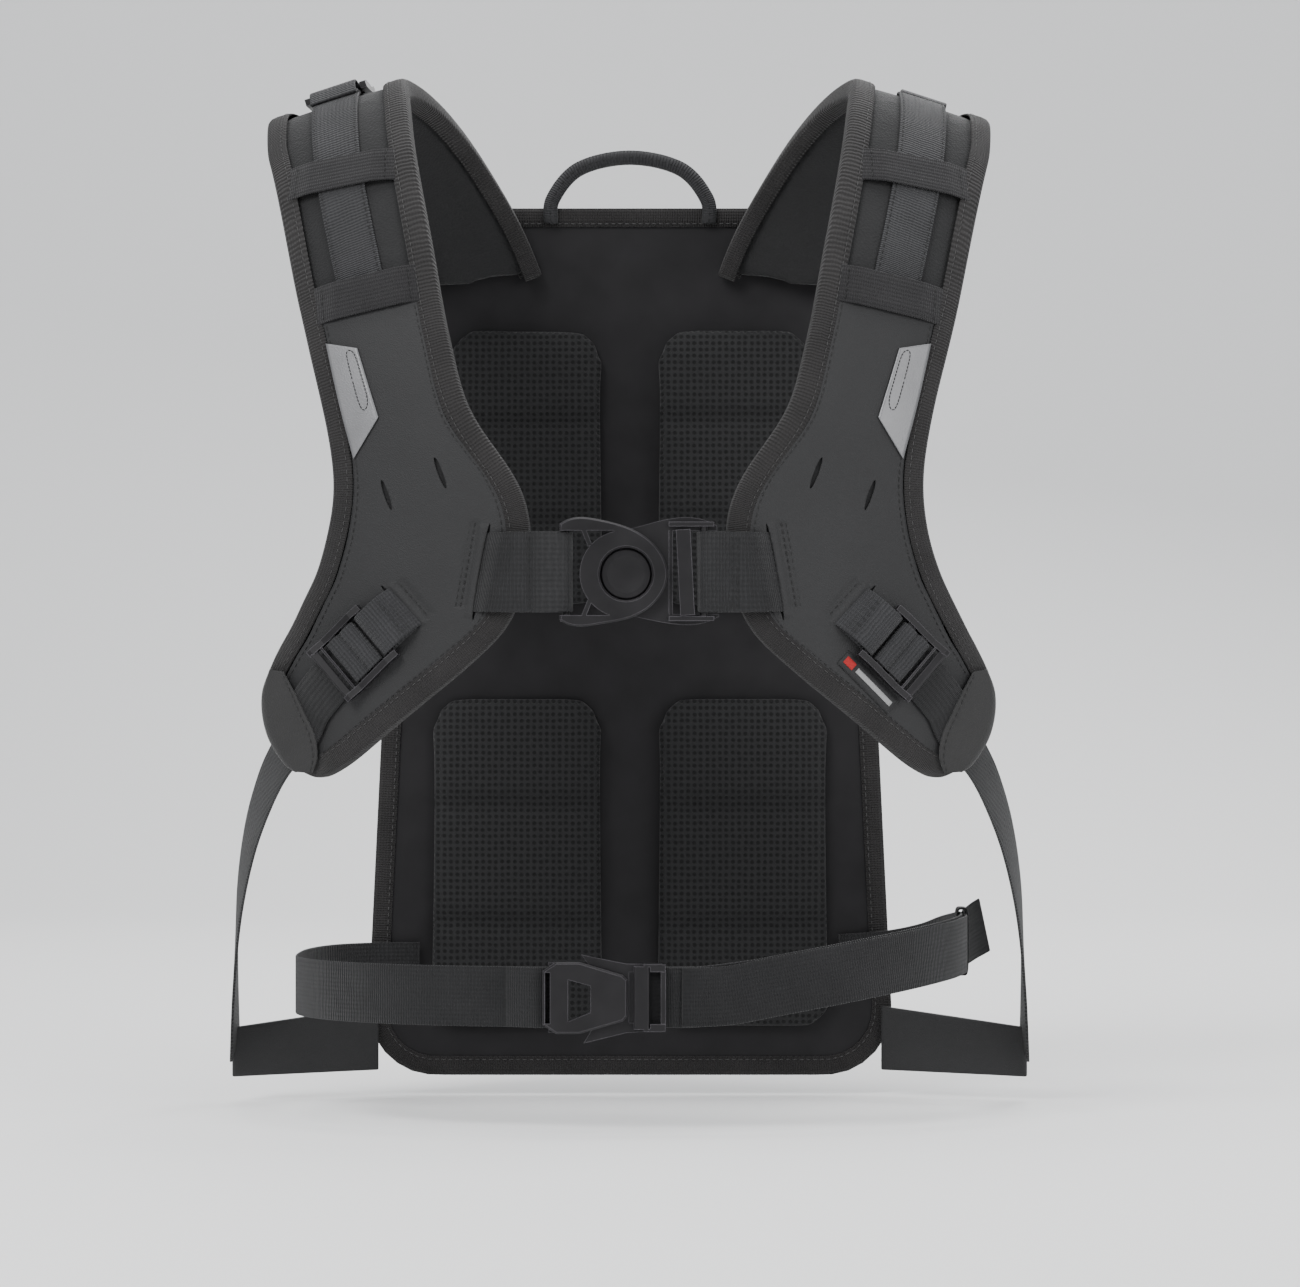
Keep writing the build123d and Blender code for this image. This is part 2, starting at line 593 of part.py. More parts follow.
HAUL_Y = PLATE_FRONT - 2.0


def haul_loop():
    """A rolled grab handle standing up from the top edge of the panel."""
    arch = [(-42, -7), (-41, 6), (-27, 22), (0, 28), (27, 22), (41, 6), (42, -7)]
    path = Spline(*[(x, HAUL_Y, PLATE_TOP + z) for x, z in arch])
    return sweep(Plane(path @ 0, z_dir=path % 0) * Circle(4), path=path)


# ---- side straps and their wings
def side_strap():
    """From under the ladder lock, beneath the tip cap and round the flank to the panel's lower corner."""
    spots = [chest_spot(x, z) for x, z in ((136.8, 161.8), (144, 153), (151.5, 142.5), (156.5, 131))]
    frames = [(p + n * (FACE + 1.2), a, n) for p, a, n in trunk_frames(spots)]
    free = [(172, -76, 119), (182, -58, 101), (192, -30, 75), (200, 5, 42), (205, 42, 4), (208, 76, -38)]
    points = [frames[-1][0]] + [Vector(*place) for place in free]
    for i in range(1, len(points)):
        along = (points[min(i + 1, len(points) - 1)] - points[i - 1]).normalized()
        outward = Vector(points[i].X, (points[i].Y - 40) * 0.8, 0).normalized()
        frames.append((points[i], along, (outward - along * outward.dot(along)).normalized()))
    return strip_on(frames, STRIP_WIDTH, -WEBBING / 2, WEBBING / 2)


def wing():
    """The stitched fabric triangle that ties a side strap to the panel's lower corner."""
    root = Plane(origin=(134, 107.6, -36), x_dir=(0, 0, 1), z_dir=(1, -0.42, 0))
    tip = Plane(origin=(209, 74, -41), x_dir=(0.1, -0.3, 1), z_dir=(1, -0.42, 0))
    return loft([root * Rectangle(34, 3), tip * Rectangle(26, 3.4)])


def strap_label():
    """A small plain woven label on the left yoke."""
    plane = chest_plane(112, 158, 128, 143, FACE + 0.3)
    return plane * (Pos(0, 0, 0.3) * Box(26, 9, 0.6))


def write(name, shape):
    export_step(shape, os.path.join("parts", name + ".step"))


def write_pair(name, shape):
    write(name + "_left", shape)
    write(name + "_right", mirrored(shape))


def main():
    write_pair("yoke_pad", yoke_pad())
    write_pair("yoke_binding", yoke_binding())
    write_pair("yoke_panel", yoke_panel())
    write_pair("reflector", reflector())
    write_pair("tip_cap", tip_cap())
    for name, ends in BANDS.items():
        write_pair(name, cross_band(*ends))
    lock = ladder_lock()
    write_pair("adjuster_lock", adjuster_plane() * lock)
    write_pair("adjuster_turn", adjuster_plane() * lock_turn())
    write_pair("adjuster_anchor", adjuster_plane() * lock_anchor(15))
    write_pair("side_strap", side_strap())
    write_pair("wing", wing())
    write_pair("chest_anchor", chest_anchor())
    for side, place in (("left", lambda shape: shape), ("right", mirrored)):
        write("lifter_lock_" + side, place(lifter_plane(side) * lock))
        write("shoulder_web_" + side, place(shoulder_web(side)))
        write("lifter_strap_" + side, place(lifter_strap(side)))
    for side, sign in (("left", 1), ("right", -1)):
        write("chest_web_" + side, chest_web(sign))
        write("belt_web_" + side, belt_web(sign))
        write("belt_side_" + side, belt_side(sign))
    write("chest_ring", on_chest(ring_half()))
    write("chest_base", on_chest(base_half()))
    write("chest_button", on_chest(press_disc()))
    write("button_spring", on_chest(disc_spring()))
    write("ring_magnet", on_chest(magnet_ring(-3.2, -1.2)))
    write("base_magnet", on_chest(magnet_ring(1.0, 3.0)))
    write("belt_hook", on_belt(hook_half()))
    write("belt_receiver", on_belt(receiver_half()))
    write("hook_magnet", on_belt(magnet_block(-11, -6.6, -4.9)))
    write("receiver_magnet", on_belt(magnet_block(-6.5, -3.0, -1.8)))
    write("belt_tail", belt_tail())
    write("belt_keeper", belt_keeper())
    write("back_plate", plate_layer(0.3, PLATE_FRONT, PLATE_FRONT + PLATE_THICK))
    write("back_cover", plate_layer(0.3, PLATE_FRONT + PLATE_THICK + 0.05, COVER_BACK))
    write("back_binding", back_binding())
    write_pair("back_pad_upper", back_pad(56, 190, 345, 96, 84))
    write_pair("back_pad_lower", back_pad(60, -35, 150, 104, 96))
    write("haul_loop", haul_loop())
    write("strap_label", strap_label())


if __name__ == "__main__":
    main()
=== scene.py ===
import math

import bmesh
import bpy
from mathutils import Matrix, Vector, noise


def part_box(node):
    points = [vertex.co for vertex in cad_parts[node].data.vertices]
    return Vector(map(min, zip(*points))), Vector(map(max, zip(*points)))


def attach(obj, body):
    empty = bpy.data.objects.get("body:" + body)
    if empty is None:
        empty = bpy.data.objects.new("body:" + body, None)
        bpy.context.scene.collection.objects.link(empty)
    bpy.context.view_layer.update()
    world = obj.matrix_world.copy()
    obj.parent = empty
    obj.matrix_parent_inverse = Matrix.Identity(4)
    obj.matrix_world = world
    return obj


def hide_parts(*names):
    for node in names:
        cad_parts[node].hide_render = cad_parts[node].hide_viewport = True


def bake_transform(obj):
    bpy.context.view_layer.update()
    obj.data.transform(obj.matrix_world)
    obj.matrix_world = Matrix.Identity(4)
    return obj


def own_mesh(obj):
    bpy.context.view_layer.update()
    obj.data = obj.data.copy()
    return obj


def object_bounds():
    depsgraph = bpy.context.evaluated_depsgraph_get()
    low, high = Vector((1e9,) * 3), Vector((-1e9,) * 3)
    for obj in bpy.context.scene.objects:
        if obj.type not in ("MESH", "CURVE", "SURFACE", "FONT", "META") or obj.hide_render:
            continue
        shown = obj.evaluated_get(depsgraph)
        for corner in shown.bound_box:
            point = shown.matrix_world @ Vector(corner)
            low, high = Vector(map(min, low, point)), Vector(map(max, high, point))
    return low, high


bl_info = {
    "name": "Safety harness vest",
    "version": (1, 0, 0),
    "blender": (4, 5, 0),
    "location": "3D View > Sidebar > Harness",
    "description": "Builds the visible pieces of a chest harness vest round its packed CAD frame",
    "category": "Object",
}

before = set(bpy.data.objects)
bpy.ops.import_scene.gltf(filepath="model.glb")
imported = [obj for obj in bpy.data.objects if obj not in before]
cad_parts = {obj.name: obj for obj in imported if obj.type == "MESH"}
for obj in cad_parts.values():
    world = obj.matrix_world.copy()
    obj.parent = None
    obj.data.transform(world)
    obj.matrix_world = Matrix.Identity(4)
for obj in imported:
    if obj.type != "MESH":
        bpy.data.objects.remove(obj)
CAD_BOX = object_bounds()
MM = 0.001

# ---- the wearer's trunk, as in the CAD model, in metres; angles are in degrees
TRUNK_Y, TRUNK_HALF, TRUNK_POWER = 0.015, 0.205, 2.4
CHEST_DEPTH, BACK_DEPTH, CHEST_Z = 0.126, 0.105, 0.250
CREST_Z, CREST_X, CREST_SLOPE = 0.455, 0.113, 0.31

# The yoke's inner and outer edges: (x, angle) behind the shoulder, then (x, z) down the chest; x, z in mm.
BACK_ROWS = [((48, 148), (108, 148)), ((58, 140), (120, 140)), ((76, 127), (141, 127)),
             ((99, 108), (167, 108)), ((113, 90), (181, 90)), ((111, 68), (179, 68))]
CHEST_INNER = [(105.5, 407), (95, 354), (88.5, 322), (79, 288), (57, 256), (49.5, 234), (50, 214), (54, 196),
               (63, 179), (80, 163), (98, 148), (118, 131.5), (137, 115.5), (150, 108)]
CHEST_OUTER = [(175, 407), (162, 354), (154.4, 322), (146, 288), (141, 258), (142.5, 234), (148, 212),
               (154.5, 197), (162, 181), (169, 168), (174, 155), (174, 141), (169.5, 125), (160, 113)]
SLITS = [((118.2, 254), (113.5, 240)), ((92.8, 264.6), (87.5, 250.4))]

# Heights off the trunk of the foam's top and the face panel's top, and how far the binding covers the edge.
FOAM, FACE, COVER = 0.009, 0.0107, 0.010
# The ladder locks: height of the anchor bar, its place and where the lock points, as (x, z) millimetres.
LOCK_LIFT = 0.0139
LOCK_SPOT, LOCK_TOWARD = (120.2, 179.1), (140.6, 157.5)
LIFTER_X, LIFTER_ANGLES = 0.147, {1: 103.0, -1: 92.0}
CHEST_Y, CHEST_STRAP_Z, BELT_HINGE_X = -0.1225, 0.209, 0.138
BELT_Y, BELT_HALF, BELT_DEPTH, BELT_POWER, BELT_RISE = 0.004, 0.170, 0.112, 2.3, 0.022
SIDES = {"left": 1, "right": -1}


# ---- places on the trunk
def trunk_point(x, angle):
    """A place on the trunk: angle 0 is the level of the chest, 90 the crest and 180 that level behind."""
    share = (1 - min(abs(x) / TRUNK_HALF, 0.999) ** TRUNK_POWER) ** (1 / TRUNK_POWER)
    rise = CREST_Z - CREST_SLOPE * (abs(x) - CREST_X) - CHEST_Z
    turn = math.radians(angle)
    if angle < 0:
        return Vector((x, TRUNK_Y - CHEST_DEPTH * share, CHEST_Z + rise * turn))
    depth = (CHEST_DEPTH if angle < 90 else BACK_DEPTH) * share
    return Vector((x, TRUNK_Y - depth * math.cos(turn), CHEST_Z + rise * math.sin(turn)))


def trunk_normal(x, angle):
    """The direction square off the trunk."""
    across = trunk_point(x + 1e-4, angle) - trunk_point(x - 1e-4, angle)
    along = trunk_point(x, angle + 0.1) - trunk_point(x, angle - 0.1)
    return across.cross(along).normalized()


def on_trunk(x, angle, lift=0.0):
    """A place at a height off the trunk."""
    return trunk_point(x, angle) + trunk_normal(x, angle) * lift


def chest(x_mm, z_mm):
    """(x, angle) of a place on the chest given in millimetres."""
    x, z = x_mm * MM, z_mm * MM
    share = (z - CHEST_Z) / (CREST_Z - CREST_SLOPE * (abs(x) - CREST_X) - CHEST_Z)
    return x, math.degrees(math.asin(share) if share > 0 else share)


def spline(points, t):
    """The place at share t along a smooth curve through tuples or vectors."""
    last = len(points) - 1
    i = min(int(t * last), last - 1)
    f = t * last - i
    a, b, c, d = (Vector(points[min(max(k, 0), last)]) for k in (i - 1, i, i + 1, i + 2))
    square, cube = a * 2 - b * 5 + c * 4 - d, b * 3 - a - c * 3 + d
    return b + (c - a) * (0.5 * f) + square * (0.5 * f * f) + cube * (0.5 * f ** 3)


def curve(points, count):
    """Evenly shared places along a smooth curve."""
    return [spline(points, i / (count - 1)) for i in range(count)]


def heading(points, i, reach=1):
    """The direction of a run of points at the i-th of them."""
    return (points[min(i + reach, len(points) - 1)] - points[max(i - reach, 0)]).normalized()


def flip(spot, sign):
    """A place on the wearer's left, or its mirror image on the right when sign is -1."""
    return Vector((spot.x * sign, spot.y, spot.z))


def yoke_edge(back, front):
    """One edge of the yoke as (x, angle, 0) vectors, from the back end to the tip."""
    return [Vector((x * MM, angle, 0)) for x, angle in back] + [Vector((*chest(*spot), 0)) for spot in front]


INNER = yoke_edge([inner for inner, _ in BACK_ROWS], CHEST_INNER)
OUTER = yoke_edge([outer for _, outer in BACK_ROWS], CHEST_OUTER)


def yoke_spot(u, v):
    """(x, angle) at share u from the inner edge to the outer and v from the back end to the tip."""
    place = spline(INNER, v).lerp(spline(OUTER, v), u)
    return place.x, place.y


def on_yoke(u, v, lift):
    return on_trunk(*yoke_spot(u, v), lift)


def inset_shares(v, inset):
    """The shares u that lie the inset inside the two edges, measured square to each."""
    ends = [on_yoke(side, v, 0) for side in (0, 1)]
    chord = ends[1] - ends[0]
    shares = []
    for side in (0, 1):
        edge = on_yoke(side, min(v + 0.01, 1), 0) - on_yoke(side, max(v - 0.01, 0), 0)
        slant = max(chord.normalized().cross(edge.normalized()).length, 0.45)
        shares.append(min(inset / slant / chord.length, 0.46))
    return shares[0], 1 - shares[1]


# ---- mesh building
def finish_mesh(name, bm, material):
    """An object from a closed mesh, with its normals turned outward."""
    bmesh.ops.recalc_face_normals(bm, faces=bm.faces)
    mesh = bpy.data.meshes.new(name)
    bm.to_mesh(mesh)
    bm.free()
    obj = bpy.data.objects.new(name, mesh)
    bpy.context.scene.collection.objects.link(obj)
    mesh.materials.append(material)
    smooth_shade(obj)
    return obj


def smooth_shade(obj):
    for polygon in obj.data.polygons:
        polygon.use_smooth = True


def mapped_grid(columns, rows, place, size):
    """A grid whose vertices go to place(u, v), with UVs in metres over size."""
    bm = bmesh.new()
    bmesh.ops.create_grid(bm, x_segments=columns, y_segments=rows, size=0.5)
    weave = bm.loops.layers.uv.new("weave")
    for face in bm.faces:
        for loop in face.loops:
            co = loop.vert.co
            loop[weave].uv = ((co.x + 0.5) * size[0], (co.y + 0.5) * size[1])
    for vert in bm.verts:
        vert.co = place(vert.co.x + 0.5, vert.co.y + 0.5)
    return bm


def close_up(bm):
    """Joins the edges of a rolled grid and caps its open ends."""
    bmesh.ops.remove_doubles(bm, verts=bm.verts, dist=1e-6)
    bmesh.ops.holes_fill(bm, edges=[edge for edge in bm.edges if edge.is_boundary], sides=0)


def thicken(bm, thickness):
    """Gives an open sheet its thickness, half to each side."""
    bmesh.ops.recalc_face_normals(bm, faces=bm.faces)
    bm.normal_update()
    for vert in bm.verts:
        vert.co += vert.normal * (thickness / 2)
    bmesh.ops.solidify(bm, geom=list(bm.faces), thickness=thickness)


def build_sheet(name, bm, thickness, material, rests_on, finish=None):
    """A closed piece from open cloth; finish works on the closed mesh first."""
    area = sum(face.calc_area() for face in bm.faces)
    thicken(bm, thickness)
    cloth = finish_mesh(name, bm, MATERIALS[material])
    if finish:
        finish(cloth)
    return cloth


def sweep(name, stations, outline, material, sign=1):
    """A closed outline of (across, up) carried along (point, across, up) stations."""
    length = sum((b[0] - a[0]).length for a, b in zip(stations, stations[1:]))
    count, last = len(outline), len(stations) - 1

    def place(u, v):
        a, b = outline[round(u * count) % count]
        point, across, up = stations[round(v * last)]
        spot = point + across * a + up * b
        return flip(spot, sign)

    bm = mapped_grid(count, last, place, (1, length))
    weave = bm.loops.layers.uv.active
    low = min(p[0] for p in outline)
    for face in bm.faces:
        for loop in face.loops:
            mark = round(loop[weave].uv.x * count) % count
            loop[weave].uv.x = outline[mark][0] - low
    close_up(bm)
    return finish_mesh(name, bm, material)


def flat_outline(width, thick, bulge=0.0):
    """The rounded cross-section of webbing, a little thicker in the middle."""
    half, edge = width / 2, thick / 2
    top = [(-half + edge * 0.3, edge * 0.7), (-half + edge, edge), (-half * 0.5, edge + bulge * 0.8),
           (0, edge + bulge), (half * 0.5, edge + bulge * 0.8), (half - edge, edge),
           (half - edge * 0.3, edge * 0.7)]
    return [(-half, 0)] + top + [(half, 0)] + [(a, -b) for a, b in reversed(top)]


def band_outline(line, thick):
    """The closed outline of a sheet of the given thickness that follows a line of (across, up) points."""
    left, right = [], []
    for i, (a, b) in enumerate(line):
        c, d = line[max(i - 1, 0)]
        e, f = line[min(i + 1, len(line) - 1)]
        along = Vector((e - c, f - d)).normalized()
        side = Vector((-along.y, along.x)) * (thick / 2)
        left.append((a + side.x, b + side.y))
        right.append((a - side.x, b - side.y))
    return left + right[::-1]


def stations_on_trunk(spots, lift, count):
    """Stations along (x, angle) spots: across to the wearer's left, up off the trunk."""
    spots = curve([Vector((x, a, 0)) for x, a in spots], count)
    points = [on_trunk(s.x, s.y, lift) for s in spots]
    stations = []
    for i, spot in enumerate(spots):
        up = trunk_normal(spot.x, spot.y)
        along = heading(points, i)
        stations.append((points[i], along.cross(up).normalized(), up))
    return stations


def stations_along(points, ups, count):
    """Stations along free points, with the up directions eased between those given."""
    points, ups = curve(points, count), curve(ups, count)
    stations = []
    for i, point in enumerate(points):
        along = heading(points, i)
        up = (ups[i] - along * ups[i].dot(along)).normalized()
        stations.append((point, along.cross(up).normalized(), up))
    return stations


def stitches(name, lines, material, sign=1, pitch=0.0036, length=0.0026, radius=0.0003):
    """Sewing thread: one short rounded stitch after another along lines of (point, up)."""
    template = bmesh.new()
    bmesh.ops.create_uvsphere(template, u_segments=6, v_segments=4, radius=1.0)
    shape = [vert.co.copy() for vert in template.verts]
    loops = [[vert.index for vert in face.verts] for face in template.faces]
    template.free()
    vertices, faces = [], []
    for line in lines:
        travelled, due = 0.0, pitch / 2
        for (a, up), (b, _) in zip(line, line[1:]):
            step = (b - a).length
            while step > 0 and due <= travelled + step:
                spot = a.lerp(b, (due - travelled) / step)
                along = (b - a).normalized()
                side = along.cross(up).normalized()
                rise = side.cross(along)
                start = len(vertices)
                for c in shape:
                    place = spot + along * (c.z * length / 2) + side * (c.x * radius)
                    place += rise * (c.y * radius * 0.8)
                    vertices.append((place.x * sign, place.y, place.z))
                faces += [[start + index for index in loop] for loop in loops]
                due += pitch
            travelled += step
    mesh = bpy.data.meshes.new(name)
    mesh.from_pydata(vertices, [], faces)
    bm = bmesh.new()
    bm.from_mesh(mesh)
    bpy.data.meshes.remove(mesh)
    return finish_mesh(name, bm, material)


def cushion(obj, cap, voxel=0.005, pressure=4.0):
    """Fills a closed form out under pressure, each point moving no further than the cap."""
    remesh = obj.modifiers.new("remesh", "REMESH")
    remesh.mode = "VOXEL"
    remesh.voxel_size = voxel
    bake(obj)
    rest = [v.co.copy() for v in obj.data.vertices]
    cloth = obj.modifiers.new("cloth", "CLOTH")
    cloth.settings.quality = 5
    cloth.settings.use_pressure = True
    cloth.settings.uniform_pressure_force = pressure
    cloth.settings.effector_weights.gravity = 0
    for number in range(1, 21):
        bpy.context.scene.frame_set(number)
    bake(obj)
    bpy.context.scene.frame_set(1)
    for vert, home in zip(obj.data.vertices, rest):
        move = vert.co - home
        if move.length > cap:
            vert.co = home + move.normalized() * cap
    smooth = obj.modifiers.new("smooth", "SUBSURF")
    smooth.levels = smooth.render_levels = 1
    bake(obj)
    smooth_shade(obj)


def bake(obj):
    """Applies the object's modifiers to its mesh."""
    evaluated = obj.evaluated_get(bpy.context.evaluated_depsgraph_get())
    mesh = bpy.data.meshes.new_from_object(evaluated)
    old = obj.data
    obj.modifiers.clear()
    obj.data = mesh
    bpy.data.meshes.remove(old)


def join(name, objects):
    """One object from several, keeping their UVs and materials."""
    bm = bmesh.new()
    materials = []
    for obj in objects:
        start = len(bm.faces)
        bm.from_mesh(obj.data)
        bm.faces.ensure_lookup_table()
        for material in obj.data.materials:
            if material not in materials:
                materials.append(material)
        index = materials.index(obj.data.materials[0])
        for face in bm.faces[start:]:
            face.material_index = index
        bpy.data.objects.remove(obj)
    mesh = bpy.data.meshes.new(name)
    bm.to_mesh(mesh)
    bm.free()
    joined = bpy.data.objects.new(name, mesh)
    bpy.context.scene.collection.objects.link(joined)
    for material in materials:
        mesh.materials.append(material)
    return joined


def cut(obj, cutter):
    """Takes the cutter out of the object."""
    modifier = obj.modifiers.new("cut", "BOOLEAN")
    modifier.operation = "DIFFERENCE"
    modifier.solver = "EXACT"
    modifier.object = cutter
    bake(obj)
    bpy.data.objects.remove(cutter)


# ---- materials
class Recipe:
    """One material being made, with short ways to add nodes and join them."""

    def __init__(self, name, colour, roughness, sheen=0.0, gloss=0.5, metallic=0.0):
        self.material = bpy.data.materials.new(name)
        self.material.use_nodes = True
        self.nodes, self.links = self.material.node_tree.nodes, self.material.node_tree.links
        self.colour = colour
        self.shader = self.nodes["Principled BSDF"]
        looks = {"Base Color": (*colour, 1), "Roughness": roughness, "Metallic": metallic,
                 "Specular IOR Level": gloss, "Sheen Weight": sheen, "Sheen Roughness": 0.4}
        for socket, value in looks.items():
            self.feed(self.shader.inputs[socket], value)

    def feed(self, socket, value):
        """Links a node's output to the socket, or sets the socket to a plain value."""
        if isinstance(value, bpy.types.NodeSocket):
            self.links.new(value, socket)
        else:
            socket.default_value = value

    def add(self, kind, inputs=None, **settings):
        """A new node with its settings and inputs; inputs are named or numbered."""
        node = self.nodes.new("ShaderNode" + kind)
        for name, value in settings.items():
            setattr(node, name, value)
        for socket, value in (inputs or {}).items():
            self.feed(node.inputs[socket], value)
        return node

    def place(self):
        return self.add("TexCoord").outputs["Object"]

    def split(self, vector):
        return self.add("SeparateXYZ", {0: vector}).outputs

    def plus(self, a, b):
        return self.add("Math", {0: a, 1: b}, operation="ADD").outputs[0]

    def times(self, a, b):
        return self.add("Math", {0: a, 1: b}, operation="MULTIPLY").outputs[0]

    def waves(self, value, pitch):
        turns = self.times(value, 2 * math.pi / pitch)
        return self.add("Math", {0: turns}, operation="SINE").outputs[0]

    def cloud(self, place, scale, detail=3.0):
        return self.add("TexNoise", {"Vector": place, "Scale": scale, "Detail": detail}).outputs["Fac"]

    def cells(self, place, scale):
        return self.add("TexVoronoi", {"Vector": place, "Scale": scale}).outputs["Distance"]

    def bump(self, height, strength, distance):
        node = self.add("Bump", {"Strength": strength, "Distance": distance, "Height": height})
        self.feed(self.shader.inputs["Normal"], node.outputs["Normal"])

    def tint(self, factor, low, high):
        """Varies the base colour between a darker and a lighter shade of itself."""
        dark, light = ((*(c * share for c in self.colour), 1) for share in (low, high))
        mix = self.add("Mix", {0: factor, 6: dark, 7: light}, data_type="RGBA")
        self.feed(self.shader.inputs["Base Color"], mix.outputs[2])


def webbing_material(name, colour, rib=0.0013, warp=0.0021, roughness=0.7):
    """Woven tape: ribs across it and fine cords along it, from the piece's own UVs."""
    tape = Recipe(name, colour, roughness, 0.08, 0.25)
    weave = tape.split(tape.add("UVMap", uv_map="weave").outputs["UV"])
    place = tape.place()
    drift = tape.times(tape.cloud(place, 160), 0.0012)
    ribs = tape.waves(tape.plus(weave["Y"], drift), rib)
    cords = tape.waves(weave["X"], warp)
    height = tape.plus(ribs, tape.times(cords, 0.45))
    height = tape.plus(height, tape.cloud(place, 1800))
    tape.bump(height, 0.8, 0.00035)
    tape.tint(tape.plus(tape.times(height, 0.16), tape.cloud(place, 45)), 0.55, 1.45)
    return tape.material


def cloth_material(name, colour, cell=0.0009, roughness=0.75, sheen=0.2, strength=0.4, mottling=30):
    """Plain woven or laminated cloth, from object coordinates, with soft creases."""
    cloth = Recipe(name, colour, roughness, sheen * 0.4, 0.3)
    place = cloth.place()
    threads = cloth.cells(place, 1 / cell)
    creases = cloth.cloud(place, mottling, 4)
    grain = cloth.cloud(place, 2600, 2)
    height = cloth.plus(cloth.times(creases, 3.0), threads)
    cloth.bump(cloth.plus(height, cloth.times(grain, 0.5)), strength, 0.0005)
    cloth.tint(cloth.plus(cloth.times(creases, 0.6), cloth.times(threads, 0.35)), 0.7, 1.3)
    return cloth.material


def mesh_material(name, colour, cell=0.0034):
    """Knitted spacer mesh with rows of open holes, seen square on from the wearer's side; the holes are
    painted dark as painted shade.
    """
    mesh = Recipe(name, colour, 0.85, 0.1, 0.25)
    place = mesh.place()
    spot = mesh.split(place)
    flat = mesh.add("CombineXYZ", {"X": spot["X"], "Y": spot["Z"]}).outputs[0]
    pattern = {"Vector": flat, "Scale": 1 / cell, "Randomness": 0.12}
    away = mesh.add("TexVoronoi", pattern, voronoi_dimensions="2D").outputs["Distance"]
    ring = mesh.add("MapRange", {"Value": away, "From Min": 0.22, "From Max": 0.40}).outputs[0]
    mesh.bump(mesh.plus(ring, mesh.times(mesh.cloud(place, 1500, 2), 0.4)), 0.8, 0.0006)
    # Painted shade: the hole centres are painted down to 0.3 of the mesh colour, the knit between them a
    # little lighter
    mesh.tint(ring, 0.3, 1.25)
    return mesh.material


def plastic_material(name, colour, roughness=0.45):
    """Moulded nylon with a fine spark texture, its rounded edges painted lighter as a painted highlight."""
    nylon = Recipe(name, colour, roughness, 0.0, 0.2)
    place = nylon.place()
    blotch = nylon.cloud(place, 60)
    nylon.bump(nylon.cloud(place, 2400, 2), 0.25, 0.0001)
    # Painted highlight: edges found by the Bevel node are painted lighter, up to 18 times the base colour
    # through the tint below
    rounded = nylon.add("Bevel", {"Radius": 0.0006}).outputs[0]
    plain = nylon.add("NewGeometry").outputs["Normal"]
    facing = nylon.add("VectorMath", {0: rounded, 1: plain}, operation="DOT_PRODUCT").outputs["Value"]
    edge = nylon.add("MapRange", {"Value": facing, "From Min": 0.995, "From Max": 0.86}).outputs[0]
    painted_edge_highlight = nylon.times(edge, nylon.plus(blotch, 0.35))
    # The tint mixes random blotches, the nylon's own tone, with the painted edge highlight
    nylon.tint(nylon.plus(nylon.times(blotch, 0.12), painted_edge_highlight), 0.85, 18.0)
    polish = nylon.plus(nylon.times(blotch, 0.2), roughness - 0.1)
    nylon.feed(nylon.shader.inputs["Roughness"], polish)
    return nylon.material


def reflective_material(name, colour):
    """Reflective film: pale grey with a fine bead grain under a clear face."""
    film = Recipe(name, colour, 0.38, metallic=0.25)
    place = film.place()
    beads = film.cells(place, 1400)
    film.bump(beads, 0.3, 0.0002)
    film.tint(film.plus(film.times(film.cloud(place, 55), 0.8), film.times(beads, 0.2)), 0.75, 1.2)
    return film.material


def metal_material(name, colour, roughness=0.3):
    """Bright steel with a faint drawn grain."""
    metal = Recipe(name, colour, roughness, metallic=1.0)
    metal.bump(metal.cloud(metal.place(), 900, 2), 0.15, 0.0001)
    return metal.material


MATERIALS = {}


def make_materials(colours):
    MATERIALS.update({
        "panel": cloth_material("panel_fabric", colours.panel, 0.0007, 0.62, 0.15, 0.35, 22),
        "lining": cloth_material("yoke_lining", colours.lining, 0.0012, 0.85, 0.35, 0.55, 40),
        "mesh": mesh_material("back_mesh", colours.lining),
        "tape": webbing_material("binding_tape", colours.tape, 0.0013, 0.0016, 0.8),
        "webbing": webbing_material("shoulder_webbing", colours.webbing),
        "band": webbing_material("band_webbing", colours.band, 0.0012),
        "chest": webbing_material("chest_webbing", colours.chest, 0.0014, 0.0026),
        "belt": webbing_material("belt_webbing", colours.belt, 0.0012),
        "elastic": webbing_material("elastic_band", colours.elastic, 0.0018, 0.0012, 0.8),
        "plastic": plastic_material("buckle_plastic", colours.plastic),
        "reflective": reflective_material("reflective_film", colours.reflective),
        "thread": cloth_material("thread", colours.thread, 0.0004, 0.6, 0.3, 0.3),
        "edge_thread": cloth_material("edge_thread", colours.light_thread, 0.0004, 0.6, 0.3, 0.3),
        "board": plastic_material("frame_sheet", colours.plastic, 0.55),
        "steel": metal_material("spring_wire", (0.6, 0.6, 0.6)),
        "cap": cloth_material("tip_cap_fabric", colours.cap, 0.0009, 0.7, 0.25, 0.45, 35),
        "label": cloth_material("label_weave", colours.label, 0.0005, 0.7, 0.2, 0.3),
        "accent": cloth_material("label_accent", colours.accent, 0.0005, 0.7, 0.2, 0.3),
    })


# ---- pieces of the yokes
def sided(name, side):
    return f"{name}_{side}"


PAD_CROWN = 0.0042


